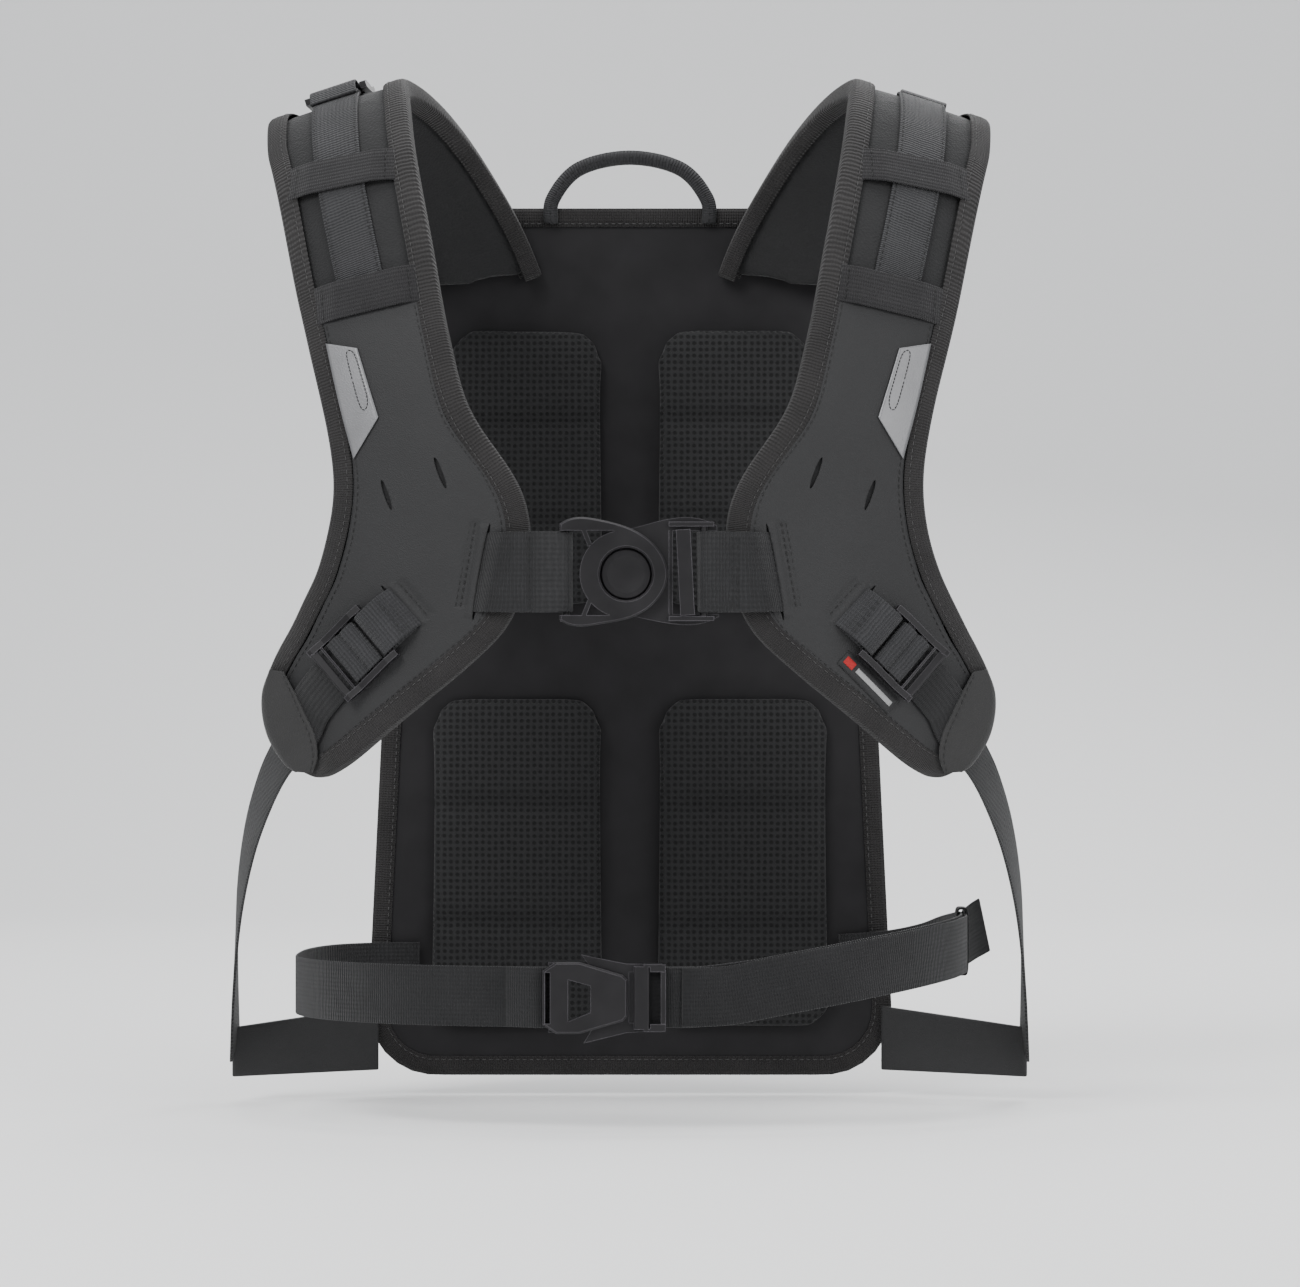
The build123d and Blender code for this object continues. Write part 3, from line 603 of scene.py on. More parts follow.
def build_pad(side):
    """The foam body in its lining: full in the middle, drawn in at its bound edges."""
    sign = SIDES[side]
    around, rows = 26, 70
    half = around // 2

    def place(u, v):
        k = round(u * around) % around
        over = k <= half
        share = 0.012 + 0.976 * (k if over else around - k) / half
        crown = (4 * share * (1 - share)) ** 0.15
        lift = FOAM / 2 + PAD_CROWN * (crown if over else -crown)
        return flip(on_yoke(share, 0.004 + 0.992 * v, lift), sign)

    bm = mapped_grid(around, rows, place, (0.16, 0.62))
    close_up(bm)
    pad = finish_mesh(sided("foam_pad", side), bm, MATERIALS["lining"])
    cushion(pad, 0.0005)
    claim(pad, "harness", "yoke_foam", sided("yoke_pad", side))


def claim(obj, body, slot, *nodes):
    """Puts a piece on its body, in place of the CAD nodes it stands for."""
    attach(obj, body)
    if nodes:
        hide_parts(*nodes)


PANEL_TO = 18.05 / 19


def panel_share(u, v):
    """The yoke's share v for a place on the face panel, whose top edge slants along the lower band."""
    top = (7.08 + 0.44 * u) / 19
    return top + (PANEL_TO - top) * v


def panel_place(u, v, lift):
    """A place on the face panel, which lies inside the binding and rounds off towards the tip."""
    v = panel_share(u, v)
    low, high = inset_shares(v, COVER - 0.0004)
    return on_yoke(low + (high - low) * u, v, lift)


SEAMS = [((73.3, 234), (80.6, 192)), ((75.6, 234), (82.9, 192)), ((98.6, 186), (113.5, 203.5)),
         ((96.4, 188), (111.3, 205.5))]
CHEST_SLOT = ((66.6, 231.5), (74.4, 186.5))
ANCHOR_SLOT = ((101.0, 182.5), (118.0, 202.0))


def from_line(x, z, line):
    """How far (x, z) is from a line, and to which side, in millimetres, or None past its ends."""
    start, end = Vector(line[0]), Vector(line[1])
    along = end - start
    arm = Vector((x, z)) - start
    share = arm.dot(along) / along.length_squared
    return (along.x * arm.y - along.y * arm.x) / along.length if 0 < share < 1 else None


LOCK_HEEL, HEEL_REACH = (122, 177), 16
SEAM_DEPTH, SEAM_REACH = 0.55, 1.1
WEBBING_RISE = 0.8


def relief(x, z):
    """What the seams, the webbing beneath and the room under the lock add to the panel, in millimetres."""
    height = 0.0
    for seam in SEAMS:
        away = from_line(x, z, seam)
        if away is not None:
            height -= SEAM_DEPTH * math.exp(-(away / SEAM_REACH) ** 2)
    for slot, reach in ((CHEST_SLOT, 6.5), (ANCHOR_SLOT, 3.6)):
        away = from_line(x, z, slot)
        if away is not None and 0 < away < reach:
            height += WEBBING_RISE * math.sin(math.pi * away / reach)
    near_lock = math.hypot(x - LOCK_HEEL[0], z - LOCK_HEEL[1]) / HEEL_REACH
    return height - 0.5 * math.exp(-near_lock ** 2)


def build_panel(side):
    """The smooth face panel, slightly full over the foam, slit and pressed down along its seams."""
    sign = SIDES[side]

    def place(u, v):
        crown = (4 * u * (1 - u)) ** 0.5
        ripple = noise.noise(Vector((u * 3 + sign, v * 7, 2.0 * sign))) * 0.0006
        flat = panel_place(u, v, FOAM)
        lift = FOAM + 0.0009 + crown * (0.0003 + ripple * 0.5) + relief(flat.x / MM, flat.z / MM) * MM
        return flip(panel_place(u, v, lift), sign)

    def cut_slits(panel):
        for slit, half in [(slit, 0.0013) for slit in SLITS] + [(CHEST_SLOT, 0.0012), (ANCHOR_SLOT, 0.0011)]:
            cut(panel, slit_cutter(slit, half, sign))
        smooth_shade(panel)

    bm = mapped_grid(72, 230, place, (0.075, 0.25))
    panel = build_sheet(sided("face_panel", side), bm, 0.0009, "panel",
                        [sided("foam_pad", side)], cut_slits)
    claim(panel, "harness", "face_fabric", sided("yoke_panel", side))


def slit_cutter(slit, half, sign):
    """A lens-shaped cutter for one slit."""
    bm = bmesh.new()
    top, low = (on_trunk(*chest(*end), FOAM) for end in slit)
    up = trunk_normal(*chest(*((a + b) / 2 for a, b in zip(*slit))))
    along = low - top
    side = along.normalized().cross(up)
    middle = (top + low) / 2
    columns = [flip(column, sign) for column in (along * 0.53, side * half, up * 0.005)]
    matrix = Matrix.Translation(flip(middle, sign)) @ Matrix(columns).transposed().to_4x4()
    bmesh.ops.create_cone(bm, cap_ends=True, segments=20, radius1=1, radius2=1, depth=2, matrix=matrix)
    return finish_mesh("cutter", bm, MATERIALS["panel"])


def edge_stations():
    """Stations round the yoke's edge, from its inner back end by the tip to its outer back end."""
    spots = [yoke_spot(0, i / 140) for i in range(141)]
    spots += [yoke_spot(i / 8, 1) for i in range(1, 8)]
    spots += [yoke_spot(1, 1 - i / 140) for i in range(141)]
    for _ in range(6):
        spots = [spots[0]] + [tuple((a[k] + b[k] * 2 + c[k]) / 4 for k in (0, 1))
                              for a, b, c in zip(spots, spots[1:], spots[2:])] + [spots[-1]]
    points = [on_trunk(*spot) for spot in spots]
    stations = []
    for i, spot in enumerate(spots):
        up = trunk_normal(*spot)
        along = heading(points, i, 2)
        stations.append((points[i], along.cross(up).normalized(), up))
    return stations


# The binding's folded section as (outward, up) millimetres, from its face lap to its lining lap.
BINDING_LINE = [(-10.2, 9.5), (-9.4, 10.0), (-6, 10.25), (-3, 10.3), (-0.8, 10.0), (0.5, 9.2), (1.0, 8.0),
                (1.1, 4.5), (0.9, 1.0), (0.3, -0.5), (-1.5, -1.0), (-5, -1.0), (-8, -0.9)]


def build_binding(side):
    """The tape folded round the yoke's edge, with a row of stitches along it."""
    sign = SIDES[side]
    outline = band_outline([(a * MM, b * MM) for a, b in BINDING_LINE], 0.0008)
    stations = edge_stations()
    wave = [noise.noise(Vector((i * 0.11, sign, 0))) * 0.0004 for i in range(len(stations))]
    stations = [(p + across * w, across, up) for (p, across, up), w in zip(stations, wave)]
    binding = sweep(sided("edge_binding", side), stations, outline, MATERIALS["tape"], sign)
    claim(binding, "harness", "edge_tape", sided("yoke_binding", side))
    row = [(p - across * 0.0078 + up * 0.0108, up) for p, across, up in stations]
    thread = stitches(sided("binding_stitches", side), [row], MATERIALS["edge_thread"], sign, radius=0.00022)
    claim(thread, "harness", "edge_tape")


def build_shoulder_web(side):
    """The strip up the middle of the yoke, with the loop at the crest that holds the ladder lock."""
    sign = SIDES[side]
    angle = LIFTER_ANGLES[sign]
    spots = [chest(128.5, 345), chest(131, 357), chest(135, 374), chest(140, 396), chest(143.5, 414)]
    spots += [(0.146, 68), (LIFTER_X, 78), (LIFTER_X, (76 + angle) / 2), (LIFTER_X, angle - 2.5)]
    stations = stations_on_trunk(spots, FOAM + 0.0009, 60)
    strip = sweep("strip", stations, flat_outline(0.025, 0.0014, 0.0001), MATERIALS["webbing"], sign)
    loop = lock_loop(*lifter_axes(sign), MATERIALS["webbing"], sign)
    web = join(sided("shoulder_strip", side), [strip, loop])
    claim(web, "harness", "webbing", sided("shoulder_web", side))
    lines = [[(p + across * o + up * 0.0009, up) for p, across, up in stations] for o in (-0.0108, 0.0108)]
    thread = stitches(sided("strip_stitches", side), lines, MATERIALS["thread"], sign)
    claim(thread, "harness", "webbing")


def lock_axes(spot, toward):
    """Origin, along, across and up of a ladder lock lying on the trunk."""
    origin, up = on_trunk(*spot, LOCK_LIFT), trunk_normal(*spot)
    along = on_trunk(*toward, LOCK_LIFT) - origin
    along = (along - up * along.dot(up)).normalized()
    return origin, along, up.cross(along), up


def lifter_axes(sign):
    """The crest lock's axes, on the side that sign names."""
    angle = LIFTER_ANGLES[sign]
    return lock_axes((LIFTER_X, angle), (LIFTER_X - 0.004, angle + 12))


def adjuster_axes():
    """The lower lock's axes, on the wearer's left."""
    return lock_axes(chest(*LOCK_SPOT), chest(*LOCK_TOWARD))


def in_plane(origin, along, across, up, line, width, thick, material, sign, name="web"):
    """Webbing that follows a line of (along, up) millimetres in a lock's own plane."""
    points = curve([Vector((a * MM, b * MM)) for a, b in line], len(line) * 5)
    stations = []
    for i, p in enumerate(points):
        step = heading(points, i)
        normal = along * -step.y + up * step.x
        stations.append((origin + along * p.x + up * p.y, across * -1, normal))
    return sweep(name, stations, flat_outline(width, thick), material, sign)


def lock_loop(origin, along, across, up, material, sign, reach=15):
    """Webbing folded round a lock's anchor bar; both layers run down into the fabric behind it."""
    line = [(-reach - 4, -5.4), (-reach - 1, -2.6), (-reach + 3, 0.4), (-reach + 7, 2.0), (-4, 2.8), (0, 2.8),
            (2.0, 2.0), (2.8, 0), (2.0, -2.0), (0, -2.8), (-5, -2.8), (-reach + 4, -3.2), (-reach + 1, -4.4),
            (-reach - 2, -5.6)]
    return in_plane(origin, along, across, up, line, 0.0248, 0.0013, material, sign)


# The strap over a lock's two middle bars, as (along, up) millimetres.
TURN_LINE = [(5.4, -1.2), (5.5, 0.6), (6.3, 2.0), (9.5, 2.35), (12.6, 2.0), (14, 1.1), (15.4, 2.0),
             (18.5, 2.35), (21.7, 2.0), (22.5, 0.6), (22.7, -1.4)]


def lock_turn(name, axes, material, sign):
    """The strap where it rides over a ladder lock's two middle bars."""
    return in_plane(*axes, TURN_LINE, 0.0244, 0.0009, material, sign, name)


# Each keeper band's inner and outer ends as (x, z) millimetres, and how its lift eases at an end.
BANDS = {"band_lower": ((93.5, 351.5), (158.5, 337.5)), "band_upper": ((106, 410), (174.5, 399))}
BAND_EASE, BAND_TOP, BAND_COUNT = (9.5, 10.6, 11.4), 12.1, 15


def build_bands(side):
    """The two keeper bands over the yoke's webbing, sewn in under the binding at both ends."""
    sign = SIDES[side]
    for name, (inner, outer) in BANDS.items():
        shares = [0.10 + 0.80 * i / (BAND_COUNT - 1) for i in range(BAND_COUNT)]
        spots = [chest(*Vector(inner).lerp(Vector(outer), share)) for share in shares]
        level = BAND_COUNT - 2 * len(BAND_EASE)
        lifts = [*BAND_EASE, *[BAND_TOP] * level, *reversed(BAND_EASE)]
        points = [on_trunk(*spot, lift * MM) for spot, lift in zip(spots, lifts)]
        stations = stations_along(points, [trunk_normal(*spot) for spot in spots], 70)
        outline = flat_outline(0.0198, 0.0012)
        band = sweep(sided(name + "_web", side), stations, outline, MATERIALS["band"], sign)
        claim(band, "harness", "webbing", sided(name, side))
        rows = [[(p + across * o * MM + up * 0.0008, up) for o in range(-9, 10)]
                for p, across, up in (stations[7], stations[-8])]
        thread = stitches(sided(name + "_stitches", side), rows, MATERIALS["thread"], sign)
        claim(thread, "harness", "webbing")


def patch_place(rows, u, v, lift):
    """A place on a patch whose rows run from inner to outer (x, z) corners."""
    row = spline([Vector((a, b, c, d)) for (a, b), (c, d) in rows], v)
    return on_trunk(*chest(row[0] + (row[2] - row[0]) * u, row[1] + (row[3] - row[1]) * u), lift)


REFLECTOR = [((129.8, 318), (144.9, 320.7)), ((124.6, 301), (138.5, 292.5)), ((119.5, 284.5), (131.2, 264.7))]


def squared(value):
    """Pushes a sine or cosine towards its ends, so that a circle becomes a long rounded loop."""
    return math.copysign(abs(value) ** 0.35, value)


def build_reflector(side):
    """The pale reflective patch, with a long stitched loop pressed into it."""
    sign = SIDES[side]

    def place(u, v):
        return flip(patch_place(REFLECTOR, u, v, FACE + 0.0007), sign)

    bm = mapped_grid(12, 36, place, (0.015, 0.055))
    patch = build_sheet(sided("reflective_patch", side), bm, 0.0006, "reflective",
                        [sided("face_panel", side)])
    claim(patch, "harness", "reflective", sided("reflector", side))
    up = trunk_normal(*chest(132, 295))
    loop = []
    for i in range(97):
        turn = 2 * math.pi * i / 96
        u, v = 0.27 + 0.15 * math.cos(turn), 0.40 + 0.33 * squared(math.sin(turn))
        loop.append((patch_place(REFLECTOR, u, v, FACE + 0.0011), up))
    thread = stitches(sided("patch_stitches", side), [loop], MATERIALS["thread"], sign, 0.0019, 0.0018)
    claim(thread, "harness", "reflective")


CAP_ROWS = [((163.5, 160), (170.5, 161)), ((158, 149.5), (174.2, 150)), ((153, 138.5), (174.2, 138)),
            ((148.5, 128), (171, 126)), ((147.5, 117.5), (164, 114.5)), ((150, 109.8), (158.5, 110.5))]
CAP_FOLD = 0.74  # the share of the corner piece that lies on the face; the rest turns down over the edge


def build_tip_cap(side):
    """The corner piece over the yoke's tip, wrapped round its outer edge."""
    sign = SIDES[side]

    def place(u, v):
        spot = patch_place(CAP_ROWS, min(u / CAP_FOLD, 1), v, 0)
        row = spline([Vector((a, b, c, d)) for (a, b), (c, d) in CAP_ROWS], v)
        if u < CAP_FOLD:
            share = u / CAP_FOLD
            up = trunk_normal(*chest(row[0] + (row[2] - row[0]) * share, row[1] + (row[3] - row[1]) * share))
            fall = max(0.0, (u - 0.6) / (CAP_FOLD - 0.6)) ** 2
            return flip(spot + up * (FACE + 0.0028 - 0.0016 * fall), sign)
        up = trunk_normal(*chest(row[2], row[3]))
        out = (patch_place(CAP_ROWS, 1, v, 0) - patch_place(CAP_ROWS, 0.6, v, 0)).normalized()
        turn = (u - CAP_FOLD) / (1 - CAP_FOLD)
        round_edge = 0.0014 * math.sin(math.pi * min(turn * 1.4, 1) / 2)
        return flip(spot + up * (FACE + 0.0012 - turn * 0.0125) + out * round_edge, sign)

    bm = mapped_grid(34, 40, place, (0.036, 0.052))
    cap = build_sheet(sided("tip_corner", side), bm, 0.0009, "cap",
                      [sided("edge_binding", side)])
    claim(cap, "harness", "edge_tape", sided("tip_cap", side))
    up = trunk_normal(*chest(150, 135))
    line = [(patch_place(CAP_ROWS, 0.1, i / 30, FACE + 0.0034), up) for i in range(1, 30)]
    thread = stitches(sided("tip_stitches", side), [line], MATERIALS["thread"], sign)
    claim(thread, "harness", "edge_tape")


def build_adjuster(side):
    """The webbing on the lower ladder lock: its sewn anchor and the strap's turn over the bars."""
    sign = SIDES[side]
    axes = adjuster_axes()
    anchor = lock_loop(*axes, MATERIALS["webbing"], sign, 17)
    anchor.name = sided("lock_anchor_web", side)
    claim(anchor, "harness", "webbing", sided("adjuster_anchor", side))
    turn = lock_turn(sided("lock_turn_web", side), axes, MATERIALS["webbing"], sign)
    claim(turn, sided("adjuster", side), "webbing", sided("adjuster_turn", side))
    origin, along, across, up = axes
    rows = []
    for back in (12.5, 16.0):
        middle = origin - along * back * MM + up * 0.0030
        rows.append([(middle + across * o * MM, up) for o in range(-11, 12)])
    thread = stitches(sided("lock_anchor_stitches", side), rows, MATERIALS["thread"], sign)
    claim(thread, "harness", "webbing")


FLANK_LINE = [(172, -76, 119), (182, -58, 101), (192, -30, 75), (200, 5, 42), (205, 42, 4), (208, 76, -38)]


def build_side_strap(side):
    """From under the ladder lock, beneath the tip corner and round the flank to the wing."""
    sign = SIDES[side]
    spots = [chest(x, z) for x, z in ((136.8, 161.8), (144, 153), (151.5, 142.5), (156.5, 131))]
    points = [on_trunk(*s, FACE + 0.0012) for s in spots]
    ups = [trunk_normal(*s) for s in spots]
    for x, y, z in FLANK_LINE:
        points.append(Vector((x, y, z)) * MM)
        ups.append(Vector((x, (y - 40) * 0.8, 0)).normalized())
    stations = stations_along(points, ups, 110)
    outline = flat_outline(0.025, 0.0014, 0.0001)
    # Painted shade: the side strap takes the darker chest webbing instead of the shoulder webbing, for the
    # shadow the wearer's flank throws on it
    strap = sweep(sided("flank_strap", side), stations, outline, MATERIALS["chest"], sign)
    claim(strap, "harness", "webbing", sided("side_strap", side))


def build_wing(side):
    """The doubled fabric triangle that takes the side strap to the panel's corner."""
    sign = SIDES[side]
    root, tip = Vector((0.134, 0.1076, -0.036)), Vector((0.209, 0.074, -0.041))
    normal = Vector((0.40, 0.92, 0)).normalized()
    root_half, tip_half = 0.017, 0.013

    def place(u, v):
        middle = root.lerp(tip, v)
        half = root_half + (tip_half - root_half) * v
        sag = 0.0012 * math.sin(math.pi * v) * math.cos(math.pi * (u - 0.5))
        return flip(middle + Vector((0, 0, (u - 0.5) * 2 * half)) + normal * sag, sign)

    bm = mapped_grid(16, 34, place, (0.034, 0.082))
    wing = build_sheet(sided("wing_fabric", side), bm, 0.0026, "panel", ["back_plate"],
                       bevel_edges)
    claim(wing, "harness", "back_fabric", sided("wing", side))
    lines = []
    for inset in (0.0035, 0.0065):
        line = []
        for u0, v0, u1, v1 in ((0, 0, 0, 1), (0, 1, 1, 1), (1, 1, 1, 0)):
            for i in range(20):
                u, v = u0 + (u1 - u0) * i / 20, v0 + (v1 - v0) * i / 20
                half = root_half + (tip_half - root_half) * v - inset
                spot = root.lerp(tip, min(v, 1 - inset / 0.082)) + Vector((0, 0, (u - 0.5) * 2 * half))
                line.append((spot + normal * 0.0016, normal))
        lines.append(line)
    thread = stitches(sided("wing_stitches", side), lines, MATERIALS["thread"], sign)
    claim(thread, "harness", "back_fabric")


def bevel_edges(obj, width=0.0008):
    """Rounds the sharp edges of a thick piece."""
    bevel = obj.modifiers.new("bevel", "BEVEL")
    bevel.width = width
    bevel.segments = 2
    bevel.limit_method = "ANGLE"
    bevel.angle_limit = math.radians(50)
    bake(obj)
    smooth_shade(obj)


def build_lifter(side):
    """The load lifter: a turn over the crest lock's bars and a strap back to the panel's top."""
    sign = SIDES[side]
    axes = lifter_axes(sign)
    turn = lock_turn(sided("lifter_turn_web", side), axes, MATERIALS["webbing"], sign)
    claim(turn, sided("lifter", side), "webbing")
    origin, along, _, up = axes
    foot = Vector((0.098, 0.1094, 0.381))
    bend = foot + Vector((0.002, -0.002, 0.017))
    start = origin + along * 0.025 - up * 0.0032
    middle = start.lerp(bend, 0.5) + Vector((0, 0, 0.004))
    points = [origin + along * 0.019 - up * 0.0030, start, middle, bend, foot]
    ups = [up, up, up * 0.6 + Vector((0, 0.4, 0)), up * 0.3 + Vector((0, 0.7, 0)), Vector((0, 1, 0))]
    stations = stations_along(points, ups, 60)
    outline = flat_outline(0.0248, 0.0014)
    strap = sweep(sided("lifter_web", side), stations, outline, MATERIALS["webbing"], sign)
    claim(strap, "harness", "webbing", sided("lifter_strap", side))


def build_face_stitches(side):
    """Double rows that sew the chest strap and the lock's anchor through the panel, and its border rows."""
    sign = SIDES[side]
    lines = []
    for top, low in SEAMS:
        spots = [chest(*Vector(top).lerp(Vector(low), i / 29)) for i in range(30)]
        lines.append([(on_trunk(*spot, FOAM + 0.0014), trunk_normal(*spot)) for spot in spots])
    for u in (0.03, 0.97):
        shares = [0.01 + 0.98 * i / 119 for i in range(120)]
        lines.append([(panel_place(u, v, FOAM + 0.0016), trunk_normal(*yoke_spot(0.5, panel_share(u, v))))
                      for v in shares])
    thread = stitches(sided("panel_stitches", side), lines, MATERIALS["thread"], sign)
    claim(thread, "harness", "face_fabric")


# ---- chest strap and waist belt
def build_chest_strap(side):
    """The chest webbing: out through the panel's slanted slot, round its buckle's bar and back."""
    sign = SIDES[side]
    bar = 37.0 if sign > 0 else 30.5
    y = CHEST_Y / MM
    line = [(84, -112.8), (76, -114.6), (71, -117.6), (67.5, -120.6), (64, y + 0.4), (58, y - 0.2),
            (50, y - 1.0), (44, y - 1.8), (bar, y - 2.9), (bar - 2.1, y - 1.9), (bar - 2.9, y),
            (bar - 2.1, y + 1.9), (bar, y + 2.8), (44, y + 2.3), (50, y + 1.6), (58, y + 1.0), (61, y + 0.8)]
    samples = curve([Vector((a * MM, b * MM, CHEST_STRAP_Z)) for a, b in line], 120)
    stations = []
    for i, point in enumerate(samples):
        along = heading(samples, i)
        slant = 0.17 * min(max((point.x - 0.056) / 0.010, 0), 1)
        across = Vector((-slant, 0, 1)).normalized()
        stations.append((point, across, along.cross(across).normalized()))
    outline = flat_outline(0.0395, 0.0013)
    web = sweep(sided("chest_webbing", side), stations, outline, MATERIALS["chest"], sign)
    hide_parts(sided("chest_web", side), sided("chest_anchor", side))
    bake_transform(web)
    rows = []
    for x in (46.0, 48.5) if sign < 0 else (51.0, 53.5):
        middle = Vector((x * MM, (y - 2.0) * MM, CHEST_STRAP_Z))
        rows.append([(middle + Vector((0, 0, o * MM)), Vector((0, -1, 0))) for o in range(-18, 19)])
    thread = stitches(sided("chest_strap_stitches", side), rows, MATERIALS["thread"], sign)
    claim(thread, sided("chest", side), "webbing")


def belt_rise(x):
    """How much higher the left half of the belt lies at x."""
    return BELT_RISE * (max(x - 0.045, 0) / 0.13) ** 0.95


def belt_point(x, sign):
    """A place on the belt's front, whose line round the waist is a superellipse."""
    share = (1 - (x / BELT_HALF) ** BELT_POWER) ** (1 / BELT_POWER)
    return Vector((x, BELT_Y - BELT_DEPTH * share, belt_rise(x) if sign > 0 else 0.0))


def level_stations(points, count):
    """Stations whose across direction is nearly upright, as a belt lies."""
    samples = curve(points, count)
    stations = []
    for i, point in enumerate(samples):
        along = heading(samples, i)
        normal = Vector((-along.y, along.x, 0)).normalized()
        if normal.dot(Vector((point.x, point.y - BELT_Y, 0))) < 0:
            normal = -normal
        stations.append((point, normal.cross(along).normalized(), normal))
    return stations


def belt_path(sign):
    """From the back panel round the flank to where the belt nears its buckle."""
    flank = ((112, 107.5), (137, 104), (154, 90), (163.5, 68), (168.5, 42), (170, 14), (169.4, -12))
    lift = belt_rise(0.170) if sign > 0 else 0.0
    shares = (0.2, 0.3, 0.5, 0.75, 0.9, 1, 1)
    points = [Vector((x * MM, y * MM, lift * s)) for (x, y), s in zip(flank, shares)]
    return points + [belt_point(x * MM, sign) for x in (165, 159, 150, 138, 128, 114, 98, 80)]


def build_belt(side):
    """The waist belt on one side, in one length from the back panel to its buckle's bar and back."""
    sign = SIDES[side]
    bar = 12.2 if sign > 0 else 37.0
    y = (BELT_Y - BELT_DEPTH) / MM
    near = belt_point((bar + 22) * MM, sign)
    line = [Vector((bar + 8, y - 2.6, 0)), Vector((bar, y - 2.75, 0)), Vector((bar - 2.0, y - 1.9, 0)),
            Vector((bar - 2.75, y, 0)), Vector((bar - 2.0, y + 1.9, 0)), Vector((bar, y + 2.7, 0)),
            Vector((bar + 8, y + 3.2, 0)), Vector((bar + 20, y + 4.4, 0))]
    points = belt_path(sign) + [belt_point(0.062, sign) + Vector((0, 0.0004, 0)), near]
    samples = curve(points + [spot * MM for spot in line], 240)
    stations = []
    previous = None
    for i, point in enumerate(samples):
        along = heading(samples, i)
        normal = Vector((0, 0, 1)).cross(along).normalized()
        if previous is not None and normal.dot(previous) < 0:
            normal = -normal
        previous = normal
        stations.append((point, normal.cross(along).normalized(), normal))
    web = sweep(sided("waist_belt", side), stations, flat_outline(0.0298, 0.0014), MATERIALS["belt"], sign)
    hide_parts(sided("belt_web", side), sided("belt_side", side))
    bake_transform(web)


def build_belt_tail():
    """The spare end of the left belt, folded back over it and held on the flank by an elastic keeper."""
    points = []
    for x in (26, 34, 50, 68, 86, 104, 120, 134, 146, 156, 163):
        point = belt_point(x * MM, 1)
        out = Vector((point.x, (point.y - BELT_Y) * 1.6, 0)).normalized()
        points.append(point + out * 0.0034)
    free_end = ((171.8, -14, 21), (171.8, 8, 21), (172.6, 18, 22), (178, 28, 25), (184, 35, 28))
    points += [Vector(spot) * MM for spot in free_end]
    web = sweep("belt_free_end", level_stations(points, 120), flat_outline(0.0292, 0.0013), MATERIALS["belt"])
    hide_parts("belt_tail")
    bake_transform(web)


def build_keeper():
    """The elastic band round the belt and its spare end."""
    low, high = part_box("belt_keeper")
    middle = (low + high) / 2
    half_x, half_z = (high.x - low.x) / 2 - 0.0004, (high.z - low.z) / 2 - 0.0006
    stations = []
    for i in range(65):
        turn = 2 * math.pi * i / 64
        x, z = half_x * squared(math.cos(turn)), half_z * squared(math.sin(turn))
        out = Vector((math.cos(turn) * 0.3 + x / half_x, 0, z / half_z)).normalized()
        stations.append((middle + Vector((x, 0, z)), Vector((0, 1, 0)), out))
    keeper = sweep("elastic_keeper", stations, flat_outline(0.0155, 0.0011), MATERIALS["elastic"])
    claim(keeper, "harness", "elastic", "belt_keeper")


# ---- back panel
PLATE = {"back": 0.1155, "top": 0.405, "bottom": -0.055, "top_half": 0.118, "bottom_half": 0.140}
CORNER = 0.034


def panel_edge(inset, count=160):
    """Points round the back panel's rounded outline, as (x, z)."""
    top, low = PLATE["top_half"] - inset, PLATE["bottom_half"] - inset
    high, bottom = PLATE["top"] - inset, PLATE["bottom"] + inset
    corners = [(-low, bottom), (low, bottom), (top, high), (-top, high)]
    radius = CORNER - inset
    points = []
    for i, corner in enumerate(corners):
        here = Vector(corner)
        before = (Vector(corners[i - 1]) - here).normalized()
        after = (Vector(corners[(i + 1) % 4]) - here).normalized()
        half = before.angle(after) / 2
        start, end = here + before * radius / math.tan(half), here + after * radius / math.tan(half)
        centre = here + (before + after).normalized() * radius / math.sin(half)
        for k in range(9):
            arm = (start - centre).lerp(end - centre, k / 8).normalized() * radius
            points.append(centre + arm)
    points.append(points[0])
    spaced, total = [], sum((b - a).length for a, b in zip(points, points[1:]))
    travelled, due = 0.0, 0.0
    for a, b in zip(points, points[1:]):
        step = (b - a).length
        while due <= travelled + step and len(spaced) < count:
            spaced.append(a.lerp(b, (due - travelled) / step))
            due += total / count
        travelled += step
    return spaced


def build_cover():
    """The heavy fabric over the outside of the panel, with a quilted border and a middle seam."""
    def place(u, v):
        z = PLATE["bottom"] + 0.0006 + (PLATE["top"] - PLATE["bottom"] - 0.0012) * v
        half = PLATE["bottom_half"] + (PLATE["top_half"] - PLATE["bottom_half"]) * v - 0.0008
        edge = min(z - PLATE["bottom"], PLATE["top"] - z)
        if edge < CORNER:
            half -= CORNER - math.sqrt(max(CORNER ** 2 - (CORNER - edge) ** 2, 0))
        x = (u - 0.5) * 2 * half
        puff = 0.0005 * noise.noise(Vector((x * 30, z * 22, 0)))
        return Vector((x, PLATE["back"] + 0.0001 + puff, z))

    bm = mapped_grid(90, 140, place, (0.28, 0.46))
    cover = build_sheet("panel_cover", bm, 0.0009, "panel", ["back_plate"])
    claim(cover, "harness", "back_fabric", "back_cover")
    up = Vector((0, 1, 0))
    y = PLATE["back"] + 0.0010
    lines = [[(Vector((p.x, y, p.y)), up) for p in panel_edge(inset)] for inset in (0.014, 0.0165)]
    for line in lines:
        line.append(line[0])
    for x in (-0.040, 0.040):
        lines.append([(Vector((x, y, -0.03 + 0.41 * i / 80)), up) for i in range(81)])
    claim(stitches("cover_stitches", lines, MATERIALS["edge_thread"]), "harness", "back_fabric")


